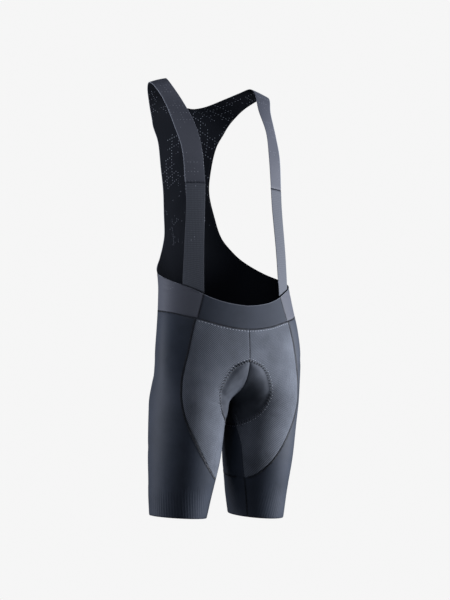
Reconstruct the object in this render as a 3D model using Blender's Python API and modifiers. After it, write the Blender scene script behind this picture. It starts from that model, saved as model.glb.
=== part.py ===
"""Cycling bib shorts, filled out as worn: a hollow garment hung from its two shoulders.

Metres, +Z up. The origin lies midway between the two straps at the top of the shoulders,
the wearer faces -Y and the wearer's left is +X.

All but the shoulder arms and front straps lies on one smooth form, the "skin": a trunk that
divides into two legs. A place on it is a height and a length around, measured level along
the cloth from the outside of the hip: negative towards the centre front, positive towards
the centre back. Below the crotch both ways round end at the inseam. Every panel is a band
of that form between two seam lines, so neighbours always meet along one line.
"""
import functools
import math

import bmesh
import bpy
import numpy as np

# Cloth.
WALL = 0.0012            # thickness of the knitted panels
SEAM_GAP = 0.0003        # clear width left at every seam
PAD_THICKNESS = 0.008    # seat pad at its middle
PAD_EDGE = 0.0015        # seat pad at its rim
PAD_CLEAR = 0.0020       # from the panels' inner faces, whose flat facets cut the corners
PAD_CENTRE_CLEAR = 0.002 # added at the centre line, where the skin turns sharply

# Heights below the top of the shoulders.
HEM = -0.911
LEVEL_ROW = -0.560       # below this height every row of the panels is level
TIP_ROW = -0.8305        # their last row, just above the tip
RING_ROW = -0.8315       # the side panel's first row that runs all round the leg

# The trunk's oval rings. front, side and back are Y; half_width is X.
#        height  half_width  front    side     back
TRUNK = [(-0.030, 0.150, -0.090, 0.000, 0.100),
         (-0.080, 0.156, -0.105, 0.000, 0.108),
         (-0.140, 0.158, -0.118, -0.005, 0.116),
         (-0.200, 0.154, -0.125, -0.015, 0.114),
         (-0.250, 0.151, -0.129, -0.025, 0.104),
         (-0.306, 0.148, -0.135, -0.038, 0.088),
         (-0.363, 0.146, -0.142, -0.053, 0.065),
         (-0.393, 0.147, -0.147, -0.062, 0.055),
         (-0.430, 0.149, -0.154, -0.072, 0.045),
         (-0.470, 0.154, -0.160, -0.080, 0.038),
         (-0.520, 0.162, -0.166, -0.089, 0.030),
         (-0.580, 0.167, -0.170, -0.092, 0.031),
         (-0.640, 0.167, -0.166, -0.088, 0.031),
         (-0.700, 0.162, -0.157, -0.078, 0.026)]

# The legs' oval rings round an axis at centre_x, centre_y.
#       height  centre_x  centre_y  half_width  front   back
LEG = [(-0.560, 0.085, -0.080, 0.083, 0.089, 0.110),
       (-0.620, 0.087, -0.076, 0.080, 0.086, 0.107),
       (-0.667, 0.088, -0.071, 0.0790, 0.084, 0.099),
       (-0.720, 0.0885, -0.062, 0.0780, 0.082, 0.089),
       (-0.790, 0.0895, -0.053, 0.0750, 0.077, 0.080),
       (-0.830, 0.091, -0.047, 0.0705, 0.072, 0.074),
       (-0.870, 0.093, -0.040, 0.0655, 0.066, 0.067),
       (-0.911, 0.095, -0.035, 0.0600, 0.060, 0.060)]

FORK_LOW = -0.675        # only legs below this height
FORK_HIGH = -0.580       # only trunk above this height
FORK_SOFTNESS = 0.020    # width of the soft valley where the legs meet
INSEAM_TURN = 0.35       # how far forward the inseam lies round the leg, in radians
INSEAM_TURNED = -0.770   # height by which it has come forward

# The sewn edge at the foot of the waistband: its height at each place round the ring.
#              around   height
WAIST_SEAM = [(-0.205, -0.522),
              (-0.175, -0.520),
              (-0.140, -0.5145),
              (-0.110, -0.507),
              (-0.088, -0.502),
              (-0.060, -0.496),
              (-0.030, -0.489),
              (0.020, -0.483),
              (0.100, -0.479),
              (0.220, -0.477)]

# The front panel's outer seam and the seat panel's outer seam.
#              height  around
FRONT_SEAM = [(-0.480, -0.087),
              (-0.512, -0.085),
              (-0.540, -0.083),
              (-0.572, -0.080),
              (-0.600, -0.0745),
              (-0.630, -0.0705),
              (-0.664, -0.0725),
              (-0.700, -0.082),
              (-0.732, -0.096),
              (-0.756, -0.108),
              (-0.780, -0.121),
              (-0.800, -0.134),
              (-0.816, -0.148),
              (-0.826, -0.161),
              (-0.831, -0.1765)]
SEAT_SEAM = [(-0.475, 0.115),
             (-0.540, 0.098),
             (-0.600, 0.085),
             (-0.660, 0.078),
             (-0.720, 0.086),
             (-0.765, 0.105),
             (-0.795, 0.132),
             (-0.812, 0.162),
             (-0.820, 0.186),
             (-0.826, 0.218),
             (-0.831, 0.2713)]

# Where the front band meets the back piece's side wings.
#            height  around
BAND_END = [(-0.503, -0.0875),
            (-0.451, -0.089)]
# The front band's upper edge.
#            around  height
BAND_TOP = [(-0.190, -0.473),
            (-0.165, -0.471),
            (-0.135, -0.466),
            (-0.110, -0.459),
            (-0.089, -0.451)]

# The back piece from the waist seam up to the neckline: each row runs on the skin from the
# centre back to its outer edge, which climbs the front band's end, follows the armhole
# round the side and goes up the back.
#            centre_height  edge_around  edge_height
BACK_ROWS = [(-0.477, -0.0875, -0.502),
             (-0.450, -0.0880, -0.4765),
             (-0.424, -0.0890, -0.451),
             (-0.402, -0.0660, -0.441),
             (-0.380, -0.0413, -0.432),
             (-0.360, -0.0130, -0.422),
             (-0.340, 0.0220, -0.410),
             (-0.318, 0.0660, -0.394),
             (-0.293, 0.1237, -0.363),
             (-0.265, 0.1603, -0.334),
             (-0.238, 0.1873, -0.306),
             (-0.200, 0.2115, -0.262),
             (-0.155, 0.2355, -0.205),
             (-0.110, 0.2411, -0.156),
             (-0.065, 0.2354, -0.103)]

# Above that the piece parts into two shoulder arms: each row runs from the neckline (inner)
# to the armhole (outer), over the shoulder and down the chest.
#               inner_x  inner_y  inner_z   outer_x  outer_y  outer_z  bulge
SHOULDER_ROWS = [(0.000, 0.108, -0.020, 0.0895, 0.092, -0.070, 0.004),
                 (0.018, 0.1055, -0.0192, 0.0955, 0.0855, -0.056, 0.0035),
                 (0.042, 0.092, -0.014, 0.104, 0.076, -0.041, 0.003),
                 (0.070, 0.053, -0.001, 0.1185, 0.056, -0.020, 0.002),
                 (0.090, 0.023, 0.009, 0.134, 0.030, -0.005, 0.001),
                 (0.104, 0.002, 0.015, 0.144, 0.004, 0.002, 0.001),
                 (0.104, -0.018, 0.001, 0.143, -0.016, -0.007, 0.001),
                 (0.093, -0.052, -0.042, 0.131, -0.040, -0.042, 0.001),
                 (0.086, -0.095, -0.0985, 0.124, -0.072, -0.0985, 0.001),
                 (0.081, -0.114, -0.152, 0.1185, -0.097, -0.152, 0.001),
                 (0.0795, -0.125, -0.222, 0.116, -0.106, -0.222, 0.001)]

# The front straps, from the chest seam down to the waistband.
#            inner_x  inner_y  inner_z   outer_x  outer_y  outer_z  bulge
STRAP_ROWS = [(0.0795, -0.1252, -0.2225, 0.116, -0.1062, -0.2225, 0.001),
              (0.081, -0.127, -0.263, 0.1155, -0.110, -0.263, 0.001),
              (0.087, -0.1335, -0.356, 0.122, -0.1135, -0.356, 0.001),
              (0.0905, -0.1395, -0.4485, 0.1265, -0.114, -0.431, 0.001)]

SHOULDER_TOP = -0.04     # above this height a strap's crown rises upwards, below it outwards

# Stitched pad, measured along the centre line from its front tip through the crotch.
#            distance  half_width
PAD_WIDTH = [(0.000, 0.003),
             (0.010, 0.028),
             (0.025, 0.044),
             (0.045, 0.056),
             (0.065, 0.064),
             (0.090, 0.064),
             (0.120, 0.060),
             (0.150, 0.057),
             (0.190, 0.064),
             (0.225, 0.072),
             (0.250, 0.066),
             (0.270, 0.040),
             (0.278, 0.003)]
PAD_TOP = -0.586         # height of the pad's front tip on the centre line
PAD_SIDE_POWER = 4       # how flat the pad is across, before it thins to its rim
PAD_END_POWER = 6        # and along

# How finely each piece is divided.
RING_STEPS = 90          # steps of the half ring, before and behind the side line
WALK_STEP = 0.004        # longest step of a walk along the skin
FAN_ROWS = 4             # the panels' rows between the waist seam and the first level row
ROWS_TO_CROTCH = 6       # level rows down to the crotch, closer together as they near it
ROWS_BELOW_CROTCH = 5    # level rows that follow, further and further apart
FIRST_BELOW_CROTCH = 0.0035
LOWER_ROWS = [-0.780, -0.795, -0.808, -0.818, -0.825, -0.829, TIP_ROW, RING_ROW,
              -0.840, -0.855, -0.875, -0.895]
FRONT_COLUMNS = 9
SEAT_COLUMNS = 10
SIDE_COLUMNS = 20
CROWDING = 1.4           # power that draws the columns towards the crotch
BAND_COLUMNS = 8
BAND_LEVELS = 3
BACK_COLUMNS = 12
BACK_LEVELS = (3, 3, 15, 17)   # waist to the band's top corner, past the corner, neck, chest
STRAP_COLUMNS = 3
STRAP_LEVELS = 11
PAD_ROWS = 14
PAD_COLUMNS = 6
PAD_CROWDING = 1.5       # how much its columns crowd at the centre line, where the skin turns

# Cloths, as base colours.
FRONT_CLOTH = (0.10, 0.12, 0.15)
SIDE_CLOTH = (0.04, 0.05, 0.07)
SEAT_CLOTH = (0.05, 0.06, 0.08)
BAND_CLOTH = (0.03, 0.035, 0.045)
STRAP_CLOTH = (0.08, 0.09, 0.11)
PAD_CLOTH = (0.02, 0.02, 0.025)
CLOTH_ROUGHNESS = 0.75

COLLECTION = "cycling_bib_shorts"


# Smooth curves through the short tables.

def through(table, column, at):
    """Value of a table's column at a place: a monotone curve through the rows."""
    rows = sorted(table)
    place = np.array([row[0] for row in rows])
    value = np.array([row[column] for row in rows])
    step = np.diff(place)
    slope = np.diff(value) / step
    tangent = np.concatenate([[slope[0]], (slope[:-1] + slope[1:]) / 2, [slope[-1]]])
    turning = slope[:-1] * slope[1:] <= 0
    tangent[1:-1][turning] = 0
    low = np.minimum(np.abs(slope[:-1]), np.abs(slope[1:])) * 3
    tangent[1:-1] = np.clip(tangent[1:-1], -low, low)
    at = np.clip(at, place[0], place[-1])
    index = np.clip(np.searchsorted(place, at, side="right") - 1, 0, len(step) - 1)
    width = step[index]
    t = (at - place[index]) / width
    return (value[index] * (1 + 2 * t) * (1 - t) ** 2
            + tangent[index] * width * t * (1 - t) ** 2
            + value[index + 1] * t * t * (3 - 2 * t)
            + tangent[index + 1] * width * t * t * (t - 1))


def ease(low, high, value):
    """Smooth step from 0 at low to 1 at high."""
    t = np.clip((value - low) / (high - low), 0, 1)
    return t * t * (3 - 2 * t)


# The skin: negative inside, zero on the cloth's outer face, about a distance near it.

def oval(dx, dy, half_width, front, back):
    depth = np.where(dy < 0, front, back)
    share = np.sqrt((dx / half_width) ** 2 + (dy / depth) ** 2)
    return (share - 1) * half_width


def section(z):
    """The table values of the form at a height."""
    leg = [through(LEG, column, z) for column in range(1, 6)]
    trunk = [through(TRUNK, column, z) for column in range(1, 5)]
    return leg, trunk, ease(FORK_LOW, FORK_HIGH, z)


def skin_of(x, y, sizes):
    leg, (half_width, front, side, back), share = sizes
    near = oval(x - leg[0], y - leg[1], leg[2], leg[3], leg[4])
    far = oval(x + leg[0], y - leg[1], leg[2], leg[3], leg[4])
    overlap = np.maximum(FORK_SOFTNESS - np.abs(near - far), 0)
    legs = np.minimum(near, far) - overlap ** 2 / (4 * FORK_SOFTNESS)
    trunk = oval(x, y - side, half_width, side - front, back - side)
    return (1 - share) * legs + share * trunk


def skin(x, y, z):
    return skin_of(x, y, section(z))


def rise(points):
    """How fast the skin's number grows along each axis, at an array of points."""
    x, y, z = np.moveaxis(np.asarray(points), -1, 0)
    reach = 0.0005
    return np.stack([skin(x + reach, y, z) - skin(x - reach, y, z),
                     skin(x, y + reach, z) - skin(x, y - reach, z),
                     skin(x, y, z + reach) - skin(x, y, z - reach)], -1) / (2 * reach)


def outward(points):
    """Unit directions out of the skin at an array of points."""
    slope = rise(points)
    return slope / np.linalg.norm(slope, axis=-1, keepdims=True)


def first_outside(start, direction, height, limit):
    """Distances from a point inside the skin to its face, along level directions."""
    sizes = section(height)
    low = np.zeros(len(direction))
    high = np.zeros(len(direction)) + limit
    for _ in range(22):
        middle = (low + high) / 2
        place = start + direction * middle[:, None]
        inside = skin_of(place[:, 0], place[:, 1], sizes) < 0
        low = np.where(inside, middle, low)
        high = np.where(inside, high, middle)
    return (low + high) / 2


def crotch():
    """Height and Y of the lowest point of the skin on the centre plane."""
    low, high = -0.72, -0.60
    along = np.linspace(-0.16, 0.04, 201)
    for _ in range(24):
        middle = (low + high) / 2
        inside = skin(np.zeros(201), along, np.full(201, middle)) < 0
        low, high = (low, middle) if inside.any() else (middle, high)
    place = np.argmin(skin(np.zeros(201), along, np.full(201, high)))
    return high, along[place]


CROTCH_HEIGHT, CROTCH_Y = crotch()


@functools.lru_cache(maxsize=None)
def ring(height):
    """The half ring at a height, and how far round from the side line each point lies."""
    axis = np.array([float(through(LEG, 1, height)), float(through(LEG, 2, height))])
    if height <= CROTCH_HEIGHT:
        meeting = math.atan2(CROTCH_Y - axis[1], -axis[0]) % (2 * math.pi)
        turn = INSEAM_TURN * (1 - ease(INSEAM_TURNED, CROTCH_HEIGHT, height))
        last = meeting + turn
        first = last - 2 * math.pi
    else:
        middle = np.array([0.0, CROTCH_Y])
        forward = first_outside(middle, np.array([[0.0, -1.0]]), height, 0.25)[0]
        backward = first_outside(middle, np.array([[0.0, 1.0]]), height, 0.25)[0]
        first = math.atan2(CROTCH_Y - forward - axis[1], -axis[0]) % (2 * math.pi) - 2 * math.pi
        last = math.atan2(CROTCH_Y + backward - axis[1], -axis[0]) % (2 * math.pi)
    forward = np.linspace(first, 0, RING_STEPS + 1)
    backward = np.linspace(0, last, RING_STEPS + 1)
    angle = np.concatenate([forward, backward[1:]])
    direction = np.stack([np.cos(angle), np.sin(angle)], -1)
    inward = np.minimum(direction[:, 0], -0.01)
    limit = np.where(direction[:, 0] < 0, np.minimum(axis[0] / -inward, 0.30), 0.30)
    points = axis + direction * first_outside(axis, direction, height, limit)[:, None]
    points[:, 0] = np.maximum(points[:, 0], 0)
    run = np.concatenate([[0], np.cumsum(np.linalg.norm(np.diff(points, axis=0), axis=1))])
    return points, run - run[RING_STEPS]


def at_height(height):
    return ring(round(float(height), 6))


def front_end(height):
    """How far round the centre front, or the inseam, lies: a negative length."""
    return at_height(height)[1][0]


def back_end(height):
    """How far round the centre back, or the inseam, lies."""
    return at_height(height)[1][-1]


def on_skin(around, height):
    """The point of the skin on the +X side, so far round from the side line at a height."""
    points, run = at_height(height)
    return np.array([np.interp(around, run, points[:, 0]),
                     np.interp(around, run, points[:, 1]), height])


def snap(point):
    """The nearest point of the skin."""
    for _ in range(4):
        slope = rise(point)
        point = point - slope * float(skin(*point)) / np.dot(slope, slope)
    return point


def walk(start, heading, distances):
    """Points at given distances along the skin, walking straight ahead from a start."""
    points, place, gone = [], np.array(start), 0.0
    for distance in distances:
        steps = max(1, math.ceil((distance - gone) / WALK_STEP))
        for _ in range(steps):
            away = outward(place)
            heading = heading - away * np.dot(heading, away)
            heading = heading / np.linalg.norm(heading)
            place = snap(place + heading * (distance - gone) / steps)
        gone = distance
        points.append(place)
    return points


# Solids.

def material(name, colour):
    made = bpy.data.materials.new(name)
    made.use_nodes = True
    shader = made.node_tree.nodes["Principled BSDF"]
    shader.inputs["Base Color"].default_value = (*colour, 1)
    shader.inputs["Roughness"].default_value = CLOTH_ROUGHNESS
    shader.inputs["Metallic"].default_value = 0
    return made


def grid_outward(points):
    """Unit directions square to a grid of points, from its own rows and columns."""
    down = np.gradient(points, axis=0)
    along = np.gradient(points, axis=1)
    away = np.cross(down, along)
    return away / np.linalg.norm(away, axis=-1, keepdims=True)


def cloth(name, outer, inner, colour, joined_rows=0):
    """A closed wall between two grids of points of the same size, outer and inner.

    The first joined_rows rows start on the centre plane, where a mirrored half is welded on.
    """
    rows, columns = outer.shape[:2]
    work = bmesh.new()
    faces = [[[work.verts.new(point) for point in row] for row in grid]
             for grid in (outer, inner)]
    for row in range(rows - 1):
        for column in range(columns - 1):
            for grid, order in ((faces[0], 1), (faces[1], -1)):
                corner = [grid[row][column], grid[row + 1][column],
                          grid[row + 1][column + 1], grid[row][column + 1]]
                work.faces.new(corner[::order])
    rim = ([(row, 0) for row in range(rows)]
           + [(rows - 1, column) for column in range(1, columns)]
           + [(row, columns - 1) for row in range(rows - 2, -1, -1)]
           + [(0, column) for column in range(columns - 2, 0, -1)])
    for (row, column), (next_row, next_column) in zip(rim, rim[1:] + rim[:1]):
        if column == next_column == 0 and max(row, next_row) < joined_rows:
            continue
        work.faces.new([faces[0][row][column], faces[1][row][column],
                        faces[1][next_row][next_column], faces[0][next_row][next_column]])
    bmesh.ops.triangulate(work, faces=work.faces[:])
    mesh = bpy.data.meshes.new(name)
    work.to_mesh(mesh)
    work.free()
    mesh.shade_smooth()
    mesh.materials.append(material(name, colour))
    made = bpy.data.objects.new(name, mesh)
    if joined_rows:
        mirror = made.modifiers.new("Both halves", "MIRROR")
        mirror.merge_threshold = 0.0001
    bpy.data.collections[COLLECTION].objects.link(made)
    return made


def both_sides(name, outer, inner, colour):
    """The same piece for the wearer's left (+X) and, mirrored, the right."""
    flip = np.array([-1, 1, 1])
    cloth(name + "_left", outer, inner, colour)
    cloth(name + "_right", outer[:, ::-1] * flip, inner[:, ::-1] * flip, colour)


def skin_wall(places):
    """Outer and inner grids of a wall on the skin, from rows of (around, height)."""
    outer = np.array([[on_skin(*place) for place in row] for row in places])
    return outer, outer - outward(outer) * WALL


def level_rows(foot):
    """Heights of a panel's level rows down to its foot, closer together at the crotch."""
    above = [CROTCH_HEIGHT + (LEVEL_ROW - CROTCH_HEIGHT) * (step / ROWS_TO_CROTCH) ** 2
             for step in range(ROWS_TO_CROTCH, 0, -1)]
    below = [CROTCH_HEIGHT - FIRST_BELOW_CROTCH * step ** 2
             for step in range(1, ROWS_BELOW_CROTCH + 1)]
    return above + below + [height for height in LOWER_ROWS if height > foot] + [foot]


def panel_between(first_seam, last_seam, foot, spread):
    """Rows of places between two seam lines, from the waist seam down to the foot.

    A seam line gives how far round it lies at a height. spread holds the places of the
    columns between the two, from 0 to 1. The first rows fan out from the waist seam.
    """
    places = []
    for row in range(FAN_ROWS):
        line = []
        for share in spread:
            height = LEVEL_ROW
            for _ in range(3):
                around = first_seam(height) * (1 - share) + last_seam(height) * share
                head = float(through(WAIST_SEAM, 1, around)) - SEAM_GAP / 2
                height = head + (LEVEL_ROW - head) * row / FAN_ROWS
            line.append((around, height))
        places.append(line)
    for height in level_rows(foot):
        first, last = first_seam(height), last_seam(height)
        places.append([(first * (1 - share) + last * share, height) for share in spread])
    return places


def centre_front(height):
    return front_end(height) + SEAM_GAP / 2


def centre_back(height):
    return back_end(height) - SEAM_GAP / 2


def front_seam(height, side):
    """The front panel's outer seam, half a gap to one side; the inseam below its tip."""
    if height < TIP_ROW:
        return centre_front(height)
    return float(through(FRONT_SEAM, 1, height)) + side * SEAM_GAP / 2


def seat_seam(height, side):
    """The seat panel's outer seam, half a gap to one side; the inseam below its tip."""
    if height < TIP_ROW:
        return centre_back(height)
    return float(through(SEAT_SEAM, 1, height)) + side * SEAM_GAP / 2


def build_panels():
    """Front, seat and side panels of both legs."""
    towards_front = np.linspace(0, 1, FRONT_COLUMNS + 1) ** CROWDING
    towards_back = 1 - np.linspace(1, 0, SEAT_COLUMNS + 1) ** CROWDING
    even = np.linspace(0, 1, SIDE_COLUMNS + 1)
    front = panel_between(centre_front, lambda z: front_seam(z, -1), TIP_ROW, towards_front)
    seat = panel_between(lambda z: seat_seam(z, 1), centre_back, TIP_ROW, towards_back)
    side = panel_between(lambda z: front_seam(z, 1), lambda z: seat_seam(z, -1), HEM, even)
    both_sides("front_panel", *skin_wall(front), FRONT_CLOTH)
    both_sides("seat_panel", *skin_wall(seat), SEAT_CLOTH)
    both_sides("side_panel", *skin_wall(side), SIDE_CLOTH)


def build_front_band():
    """The front waistband: one piece across the belly."""
    places = []
    for level in range(BAND_LEVELS + 1):
        down = level / BAND_LEVELS
        line = []
        for column in range(BAND_COLUMNS + 1):
            share = column / BAND_COLUMNS
            height = BAND_TOP[0][1]
            for _ in range(3):
                end = float(through(BAND_END, 1, height)) - SEAM_GAP / 2
                around = front_end(height) * (1 - share) + end * share
                top = float(through(BAND_TOP, 1, around))
                foot = float(through(WAIST_SEAM, 1, around)) + SEAM_GAP / 2
                height = top + (foot - top) * down
            line.append((around, height))
        places.append(line)
    outer, inner = skin_wall(places)
    inner[:, 0, 0] = outer[:, 0, 0] = 0
    cloth("waistband_front", outer, inner, BAND_CLOTH, BAND_LEVELS + 1)


def spline_rows(keys, counts):
    """Rows on smooth curves through key rows, with a count of rows for each stretch."""
    keys = np.array(keys)
    middle = keys[:, keys.shape[1] // 2]
    run = np.concatenate([[0], np.cumsum(np.linalg.norm(np.diff(middle, axis=0), axis=1))])
    last = len(run) - 1
    places = [run[0]]
    for first, end, count in counts:
        places += list(np.linspace(run[first], run[end], count + 1)[1:])
    rows = []
    for place in places:
        index = int(np.clip(np.searchsorted(run, place, side="right") - 1, 0, last - 1))
        lead, tail = max(index - 1, 0), min(index + 2, last)
        width = run[index + 1] - run[index]
        t = (place - run[index]) / width
        start_slope = (keys[index + 1] - keys[lead]) / (run[index + 1] - run[lead]) * width
        end_slope = (keys[tail] - keys[index]) / (run[tail] - run[index]) * width
        rows.append(keys[index] * (1 + 2 * t) * (1 - t) ** 2
                    + start_slope * t * (1 - t) ** 2
                    + keys[index + 1] * t * t * (3 - 2 * t)
                    + end_slope * t * t * (t - 1))
    return np.array(rows)


def ribbon_row(row, columns):
    """Points across a strap, from its inner to its outer edge, with a small crown."""
    inner, outer, bulge = np.array(row[:3]), np.array(row[3:6]), row[6]
    across = outer - inner
    side = np.array([0.0, 0.0, 1.0])
    if inner[2] < SHOULDER_TOP:
        side = np.array([0.0, np.sign(inner[1]), 0.0])
    lift = side - across * np.dot(side, across) / np.dot(across, across)
    points = []
    for column in range(columns + 1):
        t = column / columns
        points.append(inner + across * t + lift * bulge * 4 * t * (1 - t))
    return points


def back_row(row, columns):
    """Points of a row of the back piece, on the skin from the centre back to its edge."""
    centre_height, edge_around, edge_height = row
    if edge_height <= BAND_TOP[-1][1]:
        edge_around = float(through(BAND_END, 1, edge_height)) + SEAM_GAP / 2
    start = back_end(centre_height)
    points = []
    for column in range(columns + 1):
        share = column / columns
        around = start + (edge_around - start) * share
        height = centre_height + (edge_height - centre_height) * share
        if row == BACK_ROWS[0]:
            height = float(through(WAIST_SEAM, 1, around)) + SEAM_GAP / 2
        points.append(on_skin(around, height))
    return points


def build_back():
    """The back bib: one piece from the waist seam over both shoulders to the chest."""
    keys = [back_row(row, BACK_COLUMNS) for row in BACK_ROWS]
    keys += [ribbon_row(row, BACK_COLUMNS) for row in SHOULDER_ROWS]
    corner = [row[2] for row in BACK_ROWS].index(BAND_TOP[-1][1])
    neck = len(BACK_ROWS) - corner
    band, turn, back, arm = BACK_LEVELS
    foot = spline_rows(keys[:corner + 1], [(0, corner, band)])
    rest = spline_rows(keys[corner:], [(0, 2, turn), (2, neck, back),
                                       (neck, len(keys) - corner - 1, arm)])
    outer = np.concatenate([foot, rest[1:]])
    joined = band + turn + back + 1
    away = grid_outward(outer)
    away[:joined, 0, 0] = outer[:joined, 0, 0] = 0
    away /= np.linalg.norm(away, axis=-1, keepdims=True)
    cloth("back_bib", outer, outer - away * WALL, SEAT_CLOTH, joined)


def build_straps():
    """The two front straps, from the chest seam to the waistband."""
    outer = spline_rows([ribbon_row(row, STRAP_COLUMNS) for row in STRAP_ROWS],
                        [(0, len(STRAP_ROWS) - 1, STRAP_LEVELS)])
    both_sides("front_strap", outer, outer - grid_outward(outer) * WALL, STRAP_CLOTH)


def centre_line(start_height, distances):
    """Points down the centre plane of the skin, from the belly through the crotch."""
    front = at_height(start_height)[0][0]
    place = snap(np.array([0.0, front[1], start_height]))
    return walk(place, np.array([0.0, 0.0, -1.0]), distances)


def build_pad():
    """The seat pad, sewn inside through the crotch: thick in the middle, thin at its rim."""
    length = PAD_WIDTH[-1][0]
    distances = [length * row / PAD_ROWS for row in range(PAD_ROWS + 1)]
    outer = []
    for place, distance in zip(centre_line(PAD_TOP, distances), distances):
        half_width = float(through(PAD_WIDTH, 1, distance))
        reach = [half_width * (step / PAD_COLUMNS) ** PAD_CROWDING
                 for step in range(PAD_COLUMNS + 1)]
        side = np.array(walk(place, np.array([1.0, 0.0, 0.0]), reach))
        outer.append(np.concatenate([side[:0:-1] * [-1, 1, 1], side]))
    outer = np.array(outer)
    away = outward(outer)
    across = np.linspace(-1, 1, 2 * PAD_COLUMNS + 1)
    across = np.sign(across) * np.abs(across) ** PAD_CROWDING
    along = np.linspace(-1, 1, PAD_ROWS + 1)
    swell = (1 - across[None] ** PAD_SIDE_POWER) * (1 - along[:, None] ** PAD_END_POWER)
    depth = PAD_EDGE + (PAD_THICKNESS - PAD_EDGE) * swell
    clear = PAD_CLEAR + PAD_CENTRE_CLEAR * (1 - np.abs(across))
    face = outer - away * (WALL + clear)[None, :, None]
    cloth("seat_pad", face, face - away * depth[..., None], PAD_CLOTH)


def start():
    for item in list(bpy.data.objects):
        bpy.data.objects.remove(item)
    group = bpy.data.collections.new(COLLECTION)
    bpy.context.scene.collection.children.link(group)


start()
build_panels()
build_front_band()
build_back()
build_straps()
build_pad()
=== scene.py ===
# %% [markdown]
# # Cycling bib shorts
#
# Bib shorts are stretch shorts with a high back and two straps, so that nothing presses on
# the waist. A maker cuts flat panels of knitted cloth and sews them edge to edge. Filled by
# the wearer they take one smooth form: a trunk that divides into two legs. This lesson
# builds that form once, lays every panel on it, and then adds what makes it look sewn:
# rolled edges, threads, ribs, pits and holes. It starts from a fixed frame of plain solids.

# %% The frame
import functools
import math

import bpy
import numpy as np
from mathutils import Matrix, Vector, kdtree
from mathutils.bvhtree import BVHTree


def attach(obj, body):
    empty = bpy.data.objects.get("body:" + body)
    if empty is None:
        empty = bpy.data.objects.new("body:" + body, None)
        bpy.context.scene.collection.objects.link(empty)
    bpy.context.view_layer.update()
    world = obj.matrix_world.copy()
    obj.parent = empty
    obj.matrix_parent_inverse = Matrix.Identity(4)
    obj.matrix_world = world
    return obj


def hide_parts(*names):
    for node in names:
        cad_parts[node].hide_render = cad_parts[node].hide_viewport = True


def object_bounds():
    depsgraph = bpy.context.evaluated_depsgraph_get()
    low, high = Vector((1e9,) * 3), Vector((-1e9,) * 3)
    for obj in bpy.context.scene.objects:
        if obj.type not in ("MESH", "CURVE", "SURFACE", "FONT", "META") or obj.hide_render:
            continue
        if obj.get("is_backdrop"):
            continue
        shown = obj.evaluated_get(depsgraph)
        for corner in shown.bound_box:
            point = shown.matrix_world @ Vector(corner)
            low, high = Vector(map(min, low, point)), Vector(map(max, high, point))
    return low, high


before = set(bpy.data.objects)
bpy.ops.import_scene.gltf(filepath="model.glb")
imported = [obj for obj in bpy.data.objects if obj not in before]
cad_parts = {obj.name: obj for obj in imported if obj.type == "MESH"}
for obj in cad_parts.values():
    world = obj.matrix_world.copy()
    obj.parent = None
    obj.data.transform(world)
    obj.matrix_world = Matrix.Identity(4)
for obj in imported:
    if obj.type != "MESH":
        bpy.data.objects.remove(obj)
cad_low, cad_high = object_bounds()
print("frame box", [round(v, 4) for v in (*cad_low, *cad_high)])

# %% [markdown]
# ## The form under the cloth
#
# We could sculpt the body, but a garment is easier to keep true if its form is worked out
# from sizes. Two tables hold oval rings, one for the trunk and one for a leg. A smooth
# curve runs through each column. The "skin" is a number at every point of space: negative
# inside the garment, zero on the cloth and about a distance near it.

# %% Rings of the trunk and the legs
HEM = -0.911
LEVEL_ROW = -0.560       # below this height the rows of every panel are level
TIP_ROW = -0.8305        # the last row of the front and seat panels
RING_ROW = -0.8315       # from here down the side panel runs all round the leg

#        height  half_width  front    side     back
TRUNK = [(-0.030, 0.150, -0.090, 0.000, 0.100),
         (-0.080, 0.156, -0.105, 0.000, 0.108),
         (-0.140, 0.158, -0.118, -0.005, 0.116),
         (-0.200, 0.154, -0.125, -0.015, 0.114),
         (-0.250, 0.151, -0.129, -0.025, 0.104),
         (-0.306, 0.148, -0.135, -0.038, 0.088),
         (-0.363, 0.146, -0.142, -0.053, 0.065),
         (-0.393, 0.147, -0.147, -0.062, 0.055),
         (-0.430, 0.149, -0.154, -0.072, 0.045),
         (-0.470, 0.154, -0.160, -0.080, 0.038),
         (-0.520, 0.162, -0.166, -0.089, 0.030),
         (-0.580, 0.167, -0.170, -0.092, 0.031),
         (-0.640, 0.167, -0.166, -0.088, 0.031),
         (-0.700, 0.162, -0.157, -0.078, 0.026)]

#       height  centre_x  centre_y  half_width  front   back
LEG = [(-0.560, 0.085, -0.080, 0.083, 0.089, 0.110),
       (-0.620, 0.087, -0.076, 0.080, 0.086, 0.107),
       (-0.667, 0.088, -0.071, 0.0790, 0.084, 0.099),
       (-0.720, 0.0885, -0.062, 0.0780, 0.082, 0.089),
       (-0.790, 0.0895, -0.053, 0.0750, 0.077, 0.080),
       (-0.830, 0.091, -0.047, 0.0705, 0.072, 0.074),
       (-0.870, 0.093, -0.040, 0.0655, 0.066, 0.067),
       (-0.911, 0.095, -0.035, 0.0600, 0.060, 0.060)]

FORK_LOW = -0.675        # only legs below this height
FORK_HIGH = -0.580       # only trunk above this height
FORK_SOFTNESS = 0.020    # width of the soft valley where the legs meet
INSEAM_TURN = 0.35       # how far forward the inseam lies round the leg, in radians
INSEAM_TURNED = -0.770   # height by which it has come forward


# %% Smooth curves through tables
def curve(t, start, start_slope, end, end_slope):
    """A smooth cubic from start to end, t from 0 to 1, with a given slope at each end."""
    return (start * (1 + 2 * t) * (1 - t) ** 2 + start_slope * t * (1 - t) ** 2
            + end * t * t * (3 - 2 * t) + end_slope * t * t * (t - 1))


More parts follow.
